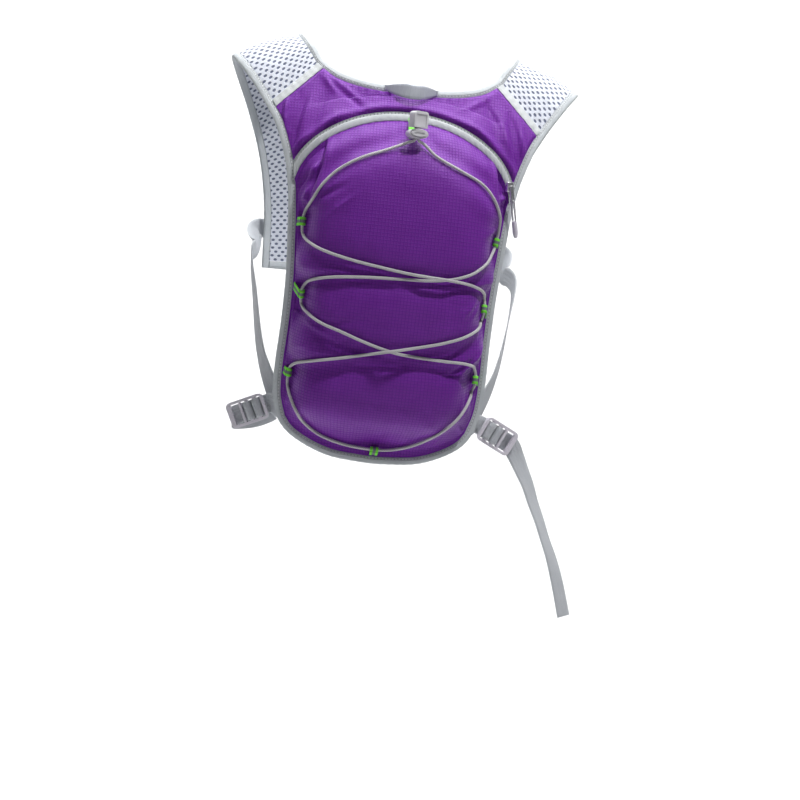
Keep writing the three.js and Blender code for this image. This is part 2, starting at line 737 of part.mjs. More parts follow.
// Foremost depth of the cloth faces over a flat place
function skinDepth(x, z) {
  let depth = Infinity;
  const test = (a, b, c) => {
    const det = (b.x - a.x) * (c.z - a.z) - (c.x - a.x) * (b.z - a.z);
    const s = ((x - a.x) * (c.z - a.z) - (c.x - a.x) * (z - a.z)) / det;
    const t = ((b.x - a.x) * (z - a.z) - (x - a.x) * (b.z - a.z)) / det;
    if (s >= -1e-6 && t >= -1e-6 && s + t <= 1 + 1e-6) {
      depth = Math.min(depth, a.y + s * (b.y - a.y) + t * (c.y - a.y));
    }
  };
  for (const grid of skins) {
    for (let r = 0; r < grid.length - 1; r += 1) {
      for (let c = 0; c < grid[0].length - 1; c += 1) {
        test(grid[r][c], grid[r][c + 1], grid[r + 1][c + 1]);
        test(grid[r][c], grid[r + 1][c + 1], grid[r + 1][c]);
      }
    }
  }
  return depth;
}

// A depth off the edge of the cloth is read from the panel behind it
function overCloth(depth, x, z) {
  return Number.isFinite(depth) ? depth : backDepth(x, z) - clothBase;
}

// Foremost depth under a round foot
function footDepth(x, z, radius) {
  const ring = range(8).map((k) => (Math.PI * k) / 4);
  const depths = ring.map((a) => skinDepth(x + radius * Math.cos(a), z + radius * Math.sin(a)));
  return overCloth(Math.min(skinDepth(x, z), ...depths), x, z);
}

// Section of a folded binding between its outer edge and its inner edge, shares of width and lifts
function bindingSection(at, width, under, top) {
  const thickness = top + under;
  const cornerIn = 0.16 * width;
  return [
    at(0, 0.3 * thickness - under),
    at(0, 0.7 * thickness - under),
    at(cornerIn, top),
    at(width, top - 0.3),
    at(width, 0.2 - under),
    at(cornerIn, -under),
  ];
}

// Shoulder yoke: neck edge and arm edge of each section, seen from the seam over the crest to the chest end
const yokeRows = [
  { neckOut: 0.925, neckDown: 0.026, armOut: 0.888, armDown: 0.127, neckOn: -0.24, armOn: -0.3, spans: 3 },
  { neckOut: 1.0, neckDown: 0, armOut: 1.0, armDown: 0.073, neckOn: 0, armOn: 0, spans: 3 },
  { neckOut: 0.98, neckDown: 0.021, armOut: 0.968, armDown: 0.1, neckOn: 0.25, armOn: 0.27, spans: 3 },
  { neckOut: 0.88, neckDown: 0.099, armOut: 0.87, armDown: 0.18, neckOn: 0.54, armOn: 0.55, spans: 3 },
  { neckOut: 0.72, neckDown: 0.236, armOut: 0.77, armDown: 0.288, neckOn: 0.8, armOn: 0.75, spans: 3 },
  { neckOut: 0.62, neckDown: 0.389, armOut: 0.708, armDown: 0.413, neckOn: 0.96, armOn: 0.87, spans: 3 },
  { neckOut: 0.6, neckDown: 0.554, armOut: 0.686, armDown: 0.557, neckOn: 1.0, armOn: 0.88, spans: 0 },
];

const onBack = (place) => overBack(place, 0);
const yokeSpans = [2, ...yokeRows.map((row) => row.spans)];
const yokePlace = (out, on, down) => vec(out, on * chestDepth, -down * packHeight);
const yokeNeckHolds = yokeRows.map((row) => yokePlace(row.neckOut * crestHalf, row.neckOn, row.neckDown));
const yokeArmHolds = yokeRows.map((row) => yokePlace(row.armOut * crestArm, row.armOn, row.armDown));
const yokeNeck = stationsThrough([onBack(seamNeck), ...yokeNeckHolds], yokeSpans).stations;
const yokeArm = stationsThrough([onBack(seamArm), ...yokeArmHolds], yokeSpans).stations;
const yokeLast = yokeNeck.length - 1;
const yokeMiddle = yokeNeck.map((p, i) => mixed(p, yokeArm[i], 0.5));
const yokeAlong = tangents(yokeMiddle);
const yokeNormals = yokeNeck.map((p, i) => yokeArm[i].clone().sub(p).cross(yokeAlong[i]).normalize());
const seamFade = 5;

// Point of the yoke: station along it, distance from its neck edge, lift above the wearer's side
function overYoke(station, fromNeck, lift) {
  const i = Math.min(yokeLast - 1, Math.floor(station));
  const part = station - i;
  const at = (k) => {
    const width = yokeNeck[k].distanceTo(yokeArm[k]);
    const share = fromNeck / width;
    const chord = mixed(yokeNeck[k], yokeArm[k], share);
    const fade = 1 - eased(k / seamFade);
    const place = mixed(seamNeck, seamArm, share);
    const seamPoint = overBack(place, 0);
    const sag = seamPoint.sub(mixed(yokeNeck[0], yokeArm[0], share)).multiplyScalar(fade);
    const normal = yokeNormals[k].clone().lerp(backNormal(place.x, place.z), fade).normalize();
    const bow = yokeBow * 4 * share * (1 - share) * (1 - fade);
    return chord.add(sag).addScaledVector(normal, bow + lift);
  };
  return part > 0 ? mixed(at(i), at(i + 1), part) : at(i);
}

const yokeWidthAt = (station) => {
  const i = Math.min(yokeLast - 1, Math.floor(station));
  const width = (k) => yokeNeck[k].distanceTo(yokeArm[k]);
  return width(i) + (width(i + 1) - width(i)) * (station - i);
};

const endBinding = bindingWidth + clearance;
const lastSpan = yokeMiddle[yokeLast].distanceTo(yokeMiddle[yokeLast - 1]);
const meshEnd = yokeLast - endBinding / lastSpan;
const firstSpan = yokeMiddle[0].distanceTo(yokeMiddle[1]);
const meshStart = clearance / firstSpan;

function shoulderMesh(side, mirror) {
  const columns = 5;
  const stations = [meshStart, ...range(yokeLast).slice(1).filter((k) => k < meshEnd), meshEnd];
  const grid = (lift) => stations.map((s) => range(columns + 1).map((c) => {
    const width = yokeWidthAt(s);
    const fromNeck = panelInset + ((width - 2 * panelInset) * c) / columns;
    return mirror(overYoke(s, fromNeck, lift));
  }));
  addPiece(`shoulder_mesh_${side}`, wallBetween(grid(yokeThickness), grid(0)), 'airMesh');
}

function seamRibbon(side, mirror) {
  const [start, end] = [clearance / 2, ribbonWidth + clearance / 2];
  const steps = 5;
  const line = (distance) => {
    const [neck, arm] = [seamCut(neckLine, 'end', distance), seamCut(sideLine, 'start', distance)];
    return range(steps + 1).map((i) => mixed(neck, arm, i / steps));
  };
  const places = [line(start), line((start + end) / 2), line(end)];
  const grid = (lift) => gridOver(places, lift).map((row) => row.map(mirror));
  const crown = [0, 0.3, 0];
  addPiece(`seam_ribbon_${side}`, wallBetween(
    grid((p, r) => clothBase + ribbonThickness + crown[r]), grid(() => clothBase),
  ), 'binding');
}

// Binding stations along the yokes, seen from the neck edge or from the arm edge
function yokeBindingSections(edge) {
  return range(yokeLast).map((k) => {
    const station = k + 1;
    const width = yokeWidthAt(station);
    const at = (inset, lift) => overYoke(station, edge === 'neck' ? inset : width - inset, lift);
    return bindingSection(at, bindingWidth, bindingUnder, yokeThickness + 1);
  });
}

function packBindingSections(points, steps) {
  return points.map((p, i) => {
    const at = (inset, lift) => overBack(p.clone().addScaledVector(steps[i], inset), lift);
    return bindingSection(at, bindingWidth, bindingUnder, bindingTop);
  });
}

function bindings() {
  const mirrorSections = (sections) => sections.map((section) => section.map(mirrored));
  const neckPart = packBindingSections(necklineRun.stations, necklineSteps);
  const neckHalf = [...neckPart, ...yokeBindingSections('neck')];
  const neckOther = mirrorSections(neckHalf).reverse().slice(0, -1);
  addPiece('neck_binding', barThrough([...neckOther, ...neckHalf]), 'binding');
  const outline = packBindingSections(outlineRun.stations, outlineSteps);
  const armHalf = [...yokeBindingSections('arm').reverse(), ...outline];
  const armOther = mirrorSections(armHalf).slice(0, -1);
  addPiece('edge_binding', barThrough([...armOther, ...[...armHalf].reverse()]), 'binding');
}

function frontEndBinding(side, mirror) {
  const steps = 4;
  const width = yokeWidthAt(yokeLast);
  const sections = range(steps + 1).map((i) => {
    const fromNeck = panelInset + ((width - 2 * panelInset) * i) / steps;
    const at = (inset, lift) => mirror(overYoke(yokeLast - inset / lastSpan, fromNeck, lift));
    return bindingSection(at, bindingWidth, bindingUnder, yokeThickness + 1);
  });
  addPiece(`front_end_binding_${side}`, barThrough(sections), 'binding');
}

// Haul loop: a satin ribbon sewn to the neckline binding at both ends, its middle standing out
function haulLoop() {
  const steps = 14;
  const flat = 0.16;
  const stations = range(steps + 1).map((i) => {
    const share = (2 * i) / steps - 1;
    const arch = Math.cos((Math.PI / 2) * clamp(Math.abs(share) / (1 - flat)));
    const place = vec(haulHalf * share, 0, -necklineDrop - 0.42 * haulWidth);
    const point = overBack(place, bindingTop + 3 * clearance + ribbonThickness / 2 + haulBulge * arch);
    point.z -= haulBulge * 0.22 * arch;
    const slope = (backDepth(place.x, place.z + 1) - backDepth(place.x, place.z - 1)) / 2;
    return { point, across: vec(0, slope + 0.15 * arch, 1) };
  });
  addPiece('haul_loop', flatStrap(stations, haulWidth, ribbonThickness), 'satin');
}

// Cord lock, cord end and the ribbon that anchors them under the zip band
const lockPlace = { x: 4, z: -97 };
const lockTurn = THREE.MathUtils.degToRad(10);
const endTurn = THREE.MathUtils.degToRad(28);
const strandSpacing = 3.5;
const roundSteps = 14;
const cornerSteps = 4;

function topHardware() {
  const anchorLift = clearance + ribbonThickness + clearance;
  const back = footDepth(lockPlace.x, lockPlace.z, lockWidth / 2) - anchorLift;
  const cordSeat = 5;
  const cavityDepth = lockDepth - 2;
  const buttonProud = 3.5;
  const slotWidth = strandSpacing + cordDiameter + 2 * clearance;
  const ellipse = (width, height, from, to) => {
    const shape = new THREE.Shape().absellipse(0, 0, width / 2, height / 2, 0, 2 * Math.PI);
    const solid = extruded(shape, to - from, roundSteps);
    return solid.rotateX(-Math.PI / 2).translate(0, from, 0);
  };
  const seatDepth = back - lockDepth + cordSeat;
  const toPlace = (geometry) => geometry.translate(0, -cordSeat, 0).rotateZ(lockTurn)
    .translate(lockPlace.x, seatDepth, lockPlace.z);
  const slot = boxAt(slotWidth, cordDiameter + 2 * clearance, lockHeight * 2, vec(0, cordSeat, 0));
  const cavity = ellipse(lockWidth - 2 * lockWall, lockHeight - 2 * lockWall, -1, cavityDepth);
  const body = cut(ellipse(lockWidth, lockHeight, 0, lockDepth), cavity, slot);
  addPiece('cord_lock_body', toPlace(body), 'lock');
  const buttonEnd = cavityDepth - lockTravel - clearance;
  const play = 0.35;
  const buttonWidth = lockWidth - 2 * lockWall - 2 * play;
  const buttonHeight = lockHeight - 2 * lockWall - 2 * play;
  const button = ellipse(buttonWidth, buttonHeight, -buttonProud, buttonEnd);
  const holeFrom = cordSeat - lockTravel - cordRadius - clearance;
  const holeTo = cordSeat + cordRadius + clearance;
  const hole = boxAt(slotWidth, holeTo - holeFrom, lockHeight * 2, vec(0, (holeFrom + holeTo) / 2, 0));
  const dish = ellipse(lockWidth * 0.5, lockHeight * 0.32, -buttonProud - 1, -buttonProud + 0.8);
  addPiece('cord_lock_button', toPlace(cut(button, hole, dish)), 'lock');

  const endZ = lockPlace.z + lockHeight / 2 + 1 + endHeight / 2;
  const corner = 3.5;
  const block = new THREE.Shape();
  block.moveTo(-endWidth / 2, -endHeight / 2);
  block.lineTo(endWidth / 2, -endHeight / 2);
  block.lineTo(endWidth / 2, endHeight / 2 - corner);
  block.absarc(endWidth / 2 - corner, endHeight / 2 - corner, corner, 0, Math.PI / 2);
  block.lineTo(-endWidth / 2 + corner, endHeight / 2);
  block.absarc(-endWidth / 2 + corner, endHeight / 2 - corner, corner, Math.PI / 2, Math.PI);
  block.closePath();
  const blockSolid = extruded(block, endDepth, cornerSteps).rotateX(Math.PI / 2).translate(0, endDepth / 2, 0);
  const panel = boxAt(endWidth - 4, 2, endHeight - 4.5, vec(0, -endDepth / 2, -0.6));
  const faced = cut(blockSolid, panel).rotateZ(endTurn).translate(lockPlace.x, seatDepth, endZ);
  const socketDepth = 9;
  const socketTop = endZ - endHeight / 2 + socketDepth;
  const socketMiddle = vec(0, 0, socketTop - socketDepth);
  const socket = boxAt(slotWidth, cordDiameter + 2 * clearance, socketDepth * 2, socketMiddle)
    .rotateZ(lockTurn).translate(lockPlace.x, seatDepth, 0);
  addPiece('cord_end', cut(faced, socket), 'lock');

  const anchorSteps = 5;
  const anchorX = lockPlace.x - 3;
  const anchorTop = endZ + endHeight * 0.2;
  const anchorLow = lockPlace.z - lockHeight * 0.4;
  const anchor = range(anchorSteps + 1).map((i) => {
    const z = anchorTop + ((anchorLow - anchorTop) * i) / anchorSteps;
    const depth = footDepth(anchorX, z, tabWidth / 2 + 1) - clearance - ribbonThickness / 2;
    return { point: vec(anchorX, depth, z), across: vec(1, 0, 0) };
  });
  addPiece('cord_anchor_top', flatStrap(anchor, tabWidth, ribbonThickness), 'neon');
  return { seatDepth, socketTop };
}

// Elastic cord: both ends sit in the cord end, run down through the lock and round the ribbon loops
const loopHole = cordRadius + 0.4;
const loopOuter = loopHole + tabThickness;
const cordSpan = 24;
const sleeveSteps = 6;

// Place on the middle line of the side bindings that lies nearest to a point
function nearestOnOutline(point) {
  const places = stepped(outlineRun.stations, outlineSteps, bindingWidth / 2);
  const flat = vec(Math.abs(point.x), 0, point.z);
  const near = places.slice(1).map((place, i) => nearestOn(places[i], place, flat));
  const best = near.reduce((a, b) => (b.distanceTo(flat) < a.distanceTo(flat) ? b : a));
  return point.x < 0 ? mirrored(best) : best;
}

const loopNames = [...new Set(cordRoute.filter((row) => row.loop).map((row) => row.loop))];
const tailLift = bindingTop + 4 * clearance + tabThickness / 2;
const tailSeat = (point) => overBack(nearestOnOutline(point), tailLift);

// How far a loop has to stand off the cloth for its tail to pass clear of it
function tailRaise(point) {
  const seat = tailSeat(point);
  const offset = loopOuter - tabThickness;
  return Math.max(0, ...[0.1, 0.2, 0.3, 0.4, 0.5, 0.6].map((t) => {
    const p = mixed(point, seat, t);
    const tailY = p.y - offset * (1 - t) + (tabThickness / 2) * t;
    const free = skinDepth(p.x, p.z) - 2 * clearance;
    return Number.isFinite(free) ? (tailY - free) / (1 - t) : 0;
  }));
}

function routedCord(top) {
  const rest = 0.4;
  const strand = (sign) => {
    const x = lockPlace.x + (sign * strandSpacing * Math.cos(lockTurn)) / 2;
    const y = top.seatDepth + (sign * strandSpacing * Math.sin(lockTurn)) / 2;
    return [
      vec(x, y, top.socketTop - clearance),
      vec(x, y, lockPlace.z + lockHeight / 2 + 0.5),
      vec(x, y, lockPlace.z - lockHeight / 2 - 0.8),
    ];
  };
  const points = cordRoute.map((row) => {
    const foot = row.loop ? loopOuter + clearance : cordRadius + rest;
    const depth = footDepth(row.x, row.z, foot) - foot - (row.over ?? 0);
    return vec(row.x, depth, row.z);
  });
  for (const name of loopNames) {
    const held = points.filter((p, i) => cordRoute[i].loop === name);
    const raise = Math.max(...held.map(tailRaise));
    for (const p of held) p.y -= raise;
  }
  const ends = { left: strand(-1), right: strand(1).reverse() };
  const all = [...ends.left, ...points, ...ends.right];
  const before = ends.left.length;
  const loopAt = (i) => cordRoute[i - before]?.loop;
  const inLoop = (i) => loopAt(i) !== undefined && loopAt(i + 1) === loopAt(i);
  const fixed = (i) => i < before - 1 || i >= all.length - before || inLoop(i);
  const curve = new THREE.CatmullRomCurve3(all, false, 'centripetal');
  const least = (p) => footDepth(p.x, p.z, cordRadius + rest) - cordRadius - rest;
  const stations = [];
  for (let i = 0; i < all.length - 1; i += 1) {
    stations.push({ point: all[i], held: fixed(i) || fixed(i - 1) });
    const cuts = fixed(i) ? 0 : Math.floor(all[i].distanceTo(all[i + 1]) / cordSpan);
    for (let k = 1; k <= cuts; k += 1) {
      stations.push({ point: curve.getPoint((i + k / (cuts + 1)) / (all.length - 1)), held: false });
    }
  }
  stations.push({ point: all[all.length - 1], held: true });
  for (let i = 2; i < stations.length - 3; i += 1) {
    const [a, b] = [stations[i], stations[i + 1]];
    const short = Math.max(...[0.25, 0.5, 0.75].map((t) => {
      const p = mixed(a.point, b.point, t);
      return p.y - least(p);
    }));
    for (const end of [a, b].filter((station) => short > 0 && !station.held)) end.point.y -= short;
  }
  addPiece('bungee_cord', roundCord(stations.map((station) => station.point), cordRadius, 8), 'cord');
  return points;
}

// Ribbon loop: a sleeve round the cord with a tail that lies on the binding
function cordLoops(points) {
  for (const name of loopNames) {
    const [start, end] = points.filter((p, i) => cordRoute[i].loop === name);
    const middle = mixed(start, end, 0.5);
    const axis = end.clone().sub(start).normalize();
    const toSeat = tailSeat(middle).sub(middle);
    toSeat.addScaledVector(axis, -toSeat.dot(axis));
    const reach = toSeat.length();
    const out = toSeat.normalize();
    if (axis.clone().cross(out).y > 0) axis.negate();
    const side = axis.clone().cross(out);
    const seat = new THREE.Vector2(reach, tabThickness / 2);
    const leave = Math.atan2(seat.y, seat.x) + Math.acos(loopOuter / seat.length());
    const outward = new THREE.Vector2(Math.cos(leave), Math.sin(leave));
    const gripDepth = loopOuter - tabThickness;
    const turn = Math.acos(gripDepth / loopOuter);
    const inner = seat.clone().addScaledVector(outward, -tabThickness);
    const shape = new THREE.Shape();
    shape.moveTo(inner.x, inner.y);
    shape.lineTo(seat.x, seat.y);
    shape.absarc(0, 0, loopOuter, leave, leave - turn + 2 * Math.PI);
    shape.closePath();
    const hole = new THREE.Path().absarc(0, 0, loopHole, 0, 2 * Math.PI, true);
    shape.holes.push(hole);
    const sleeve = extruded(shape, tabWidth, sleeveSteps);
    sleeve.translate(0, 0, -tabWidth / 2);
    sleeve.applyMatrix4(new THREE.Matrix4().makeBasis(out, side, axis).setPosition(middle));
    addPiece(`cord_loop_${name}`, sleeve, 'neon');
  }
}

// Direction out of the body's sides, used to lay straps round it
const bodyCentre = 5;
const aroundBody = (p) => vec(p.x, (p.y - bodyCentre) * 1.2, 0).normalize();

// Strap laid through holds { point, normal }, its face turned to the normals
function laidStrap(name, mirror, holds, samples, width) {
  const curve = new THREE.CatmullRomCurve3(holds.map((hold) => hold.point), false, 'centripetal');
  const list = curve.getPoints(samples);
  const along = tangents(list);
  const stations = list.map((point, i) => {
    const at = (i / samples) * (holds.length - 1);
    const k = Math.min(holds.length - 2, Math.floor(at));
    const normal = mixed(holds[k].normal, holds[k + 1].normal, at - k).normalize();
    return { point: mirror(point), across: mirror(along[i].clone().cross(normal)) };
  });
  addPiece(name, flatStrap(stations, width, webbingThickness), 'webbing');
}

// Side strap: from behind the pack corner, up and forward under the arm to the chest end of the yoke
const levelStep = webbingThickness + 0.5;
const sewnLift = -(bindingUnder + clearance + webbingThickness / 2 + 0.2);
const sideSewnRows = [
  { half: 0.84, down: 0.925, lift: -0.4 },
  { half: 0.93, down: 0.902, lift: -1.9 },
  { half: 1.03, down: 0.872, lift: -4.4 },
];
const sideStrapRows = [
  { out: 1.15, on: -0.24, down: 0.77 },
  { out: 1.27, on: -0.02, down: 0.62 },
  { out: 1.32, on: 0.22, down: 0.545 },
  { out: 1.3, on: 0.5, down: 0.52 },
  { out: 1.27, on: 0.72, down: 0.51 },
];

function yokeHold(station, fromNeck, lift) {
  return { point: overYoke(station, fromNeck, lift), normal: yokeNormals[Math.round(station)].clone() };
}

function sideStrap(side, mirror) {
  const sewn = sideSewnRows.map((row) => {
    const place = vec(row.half * packHalf, 0, -row.down * packHeight);
    const point = overBack(place, sewnLift - 2.4 * levelStep + row.lift);
    return { point, normal: backNormal(place.x, place.z) };
  });
  const free = sideStrapRows.map((row) => {
    const point = vec(row.out * packHalf, row.on * chestDepth, -row.down * packHeight);
    return { point, normal: aroundBody(point) };
  });
  const sewnStation = yokeLast - 2;
  const topLift = yokeThickness + 1 + clearance + webbingThickness / 2;
  const width = yokeWidthAt(sewnStation);
  const holds = [
    ...sewn, ...free,
    yokeHold(sewnStation, width + 7.5, topLift + 2.6),
    yokeHold(sewnStation, width - 5, topLift + 1.8),
    yokeHold(sewnStation, width - 16, topLift + 0.8),
  ];
  laidStrap(`side_strap_${side}`, mirror, holds, 20, webbingWidth);
}

// Ladder buckle: its own frame runs outward and down from the pack corner
const buckleCentre = vec(128, -36, -385);
const buckleAlong = vec(0.86, 0.3, -0.41).normalize();
const buckleToward = vec(0.2, -1, -0.1);
const buckleFace = buckleToward.clone()
  .addScaledVector(buckleAlong, -buckleToward.dot(buckleAlong)).normalize();
const buckleAcross = buckleFace.clone().cross(buckleAlong);
const onBuckle = (u, n, v = 0) => buckleCentre.clone()
  .addScaledVector(buckleAlong, u).addScaledVector(buckleFace, n).addScaledVector(buckleAcross, v);

// Slots of the ladder buckle from its pack end to its outer end, as shares of its length
const slotRows = [
  { slot: 'stub', from: -0.425, to: -0.32 },
  { slot: 'between', from: -0.225, to: -0.1 },
  { slot: 'adjuster', from: -0.01, to: 0.1 },
  { slot: 'finger', from: 0.16, to: 0.38 },
];
const slotMiddle = (name) => {
  const row = slotRows.find((r) => r.slot === name);
  return ((row.from + row.to) / 2) * buckleLength;
};

function ladderBuckle(side, mirror) {
  const outline = roundedShape(buckleLength, buckleWidth, buckleCorner, 3);
  const plate = extruded(outline, buckleThickness, 1);
  plate.translate(0, 0, -buckleThickness / 2);
  const slots = slotRows.map((row) => {
    const length = (row.to - row.from) * buckleLength;
    const middle = vec(slotMiddle(row.slot), 0, 0);
    return boxAt(length, webbingWidth + 4 * clearance, 2 * buckleThickness, middle);
  });
  const body = cut(plate, ...slots);
  const frame = new THREE.Matrix4().makeBasis(buckleAlong, buckleAcross, buckleFace);
  body.applyMatrix4(frame.setPosition(buckleCentre));
  const position = body.attributes.position;
  const point = (i) => vec(position.getX(i), position.getY(i), position.getZ(i));
  const points = range(position.count).map((i) => mirror(point(i)));
  const index = body.index.array;
  const triangles = range(index.length / 3).map((i) => [index[3 * i], index[3 * i + 1], index[3 * i + 2]]);
  addPiece(`ladder_buckle_${side}`, closedGeometry(points, triangles), 'buckle');
}

// Two places behind the pack corner where straps are sewn, one level behind another
function cornerHolds(level) {
  return [{ half: 0.83, down: 0.893 }, { half: 0.94, down: 0.898 }].map((row) => {
    const place = vec(row.half * packHalf, 0, -row.down * packHeight);
    return { point: overBack(place, sewnLift - clearance - level * 1.3 * levelStep), across: buckleAcross };
  });
}

// Straps threaded through the buckle, as paths along the buckle and across its face
const overBar = buckleThickness / 2 + 3 * clearance + webbingThickness / 2;
const strapOffset = 1.3;

function threadedStrap(name, mirror, path, start, finish) {
  const local = path.map(([u, n, v]) => ({ point: onBuckle(u, n, v), across: buckleAcross }));
  const stations = [...start, ...local, ...finish];
  addPiece(name, flatStrap(stations.map((s) => ({
    point: mirror(s.point),
    across: mirror(s.across),
  })), webbingWidth - 1, webbingThickness), 'webbing');
}

function buckleStub(side, mirror) {
  const [up, down] = [slotMiddle('stub'), slotMiddle('between') - strapOffset];
  const inSlot = 0.4 * buckleThickness;
  const path = [
    [-0.6 * buckleLength, -overBar - 0.3],
    [up - 1.7, -overBar],
    [up, -inSlot],
    [up, inSlot],
    [up + 1.5, overBar],
    [down - 1.5, overBar],
    [down, inSlot],
    [down, -0.9 * buckleThickness],
  ];
  threadedStrap(`buckle_stub_${side}`, mirror, path, cornerHolds(0), []);
}

function adjusterStrap(side, mirror) {
  const [up, down] = [slotMiddle('between') + strapOffset, slotMiddle('adjuster') - 0.7];
  const inSlot = 0.4 * buckleThickness;
  const lower = -overBar - webbingThickness - 1.1;
  const path = [
    [-0.6 * buckleLength, lower - 1.2],
    [slotMiddle('stub') - 3, lower - 1.4],
    [slotMiddle('between') - 3, lower - 1],
    [slotMiddle('between') - 1.4, lower + 0.1],
    [up, -overBar - 1.1],
    [up, -0.6 * buckleThickness],
    [up, inSlot],
    [up + 1.5, overBar],
    [down - 1.6, overBar],
    [down, inSlot],
    [down, -0.45 * buckleThickness],
    [down + 1.4, -overBar - 0.2],
    [0.32 * buckleLength, -overBar - 0.7],
  ];
  if (side === 'right') {
    path.push([0.5 * buckleLength, -overBar - 1.4]);
    threadedStrap('adjuster_strap_right', mirror, path, cornerHolds(1), tailStations());
    return;
  }
  const round = [
    [0.47 * buckleLength, -overBar - 2, -1],
    [0.53 * buckleLength, -overBar - 4.6, -2.5],
    [0.5 * buckleLength, -overBar - 7.6, -4.5],
    [0.34 * buckleLength, -overBar - 10, -7],
    [0, -overBar - 11.5, -10],
    [-0.34 * buckleLength, -overBar - 11, -10],
    [-0.52 * buckleLength, -overBar - 10.2, -9],
  ];
  threadedStrap('adjuster_strap_left', mirror, [...path, ...round], cornerHolds(1), []);
}

// Hanging tail of the right adjuster strap, millimetres out and down from the frame's origin
const tailRows = [
  { x: 150, y: -23, z: -402, turn: 20 },
  { x: 158, y: -24, z: -417, turn: 34 },
  { x: 166, y: -25, z: -432, turn: 44 },
  { x: 173, y: -26, z: -449, turn: 50 },
  { x: 181, y: -27, z: -466, turn: 54 },
  { x: 189, y: -28, z: -485, turn: 56 },
  { x: 197, y: -29, z: -503, turn: 52 },
  { x: 204, y: -30, z: -522, turn: 46 },
  { x: 210, y: -31, z: -541, turn: 44 },
  { x: 216, y: -32, z: -562, turn: 42 },
];

function tailStations() {
  return tailRows.map((row) => {
    const turn = THREE.MathUtils.degToRad(row.turn);
    const across = vec(Math.cos(turn), Math.sin(turn), 0.4 * Math.cos(turn));
    return { point: vec(row.x, row.y, row.z), across };
  });
}

// Chest strap in two halves and its plain clasp
const claspWidth = 30;
const claspHeight = 22;
const claspThickness = 8;
const sternumDown = 0.27;

function sternumStrap(side, mirror) {
  const station = yokeMiddle.findIndex((p) => p.y > 0 && -p.z > sternumDown * packHeight);
  const topLift = yokeThickness + 1 + clearance + webbingThickness / 2 + 0.5;
  const width = yokeWidthAt(station);
  const centre = sternumCentre();
  const forward = vec(0, 1, 0);
  const edge = yokeHold(station, -2, topLift + 0.3);
  const between = mixed(edge.point, centre, 0.5);
  const holds = [
    yokeHold(station, 0.42 * width, topLift),
    yokeHold(station, 0.12 * width, topLift + 0.2),
    edge,
    { point: vec(1.6 * claspWidth, between.y + 2, between.z), normal: forward },
    { point: vec(0.8 * claspWidth, centre.y, centre.z), normal: forward },
    { point: vec(claspWidth / 2 + clearance, centre.y, centre.z), normal: forward },
  ];
  laidStrap(`sternum_strap_${side}`, mirror, holds, 12, chestWebbing);
}

function sternumCentre() {
  return vec(0, chestDepth, -sternumDown * packHeight);
}

function sternumClasp() {
  const shape = roundedShape(claspWidth, claspHeight, buckleCorner, 4);
  const clasp = extruded(shape, claspThickness, cornerSteps);
  clasp.rotateX(Math.PI / 2).translate(0, claspThickness / 2, 0);
  const centre = sternumCentre();
  addPiece('sternum_clasp', clasp.translate(centre.x, centre.y, centre.z), 'buckle');
}

// Zip pull: slider on the band, metal tab, doubled cord and moulded tip, hanging down the right side
const sliderWidth = 9;
const sliderLength = 10;
const sliderThickness = 3;
const tabLength = 18;
const pullTabWidth = 5;
const pullTabThickness = 1.2;
const pullCordRadius = 0.9;
const pullCordDrop = 20;
const tipLength = 17;

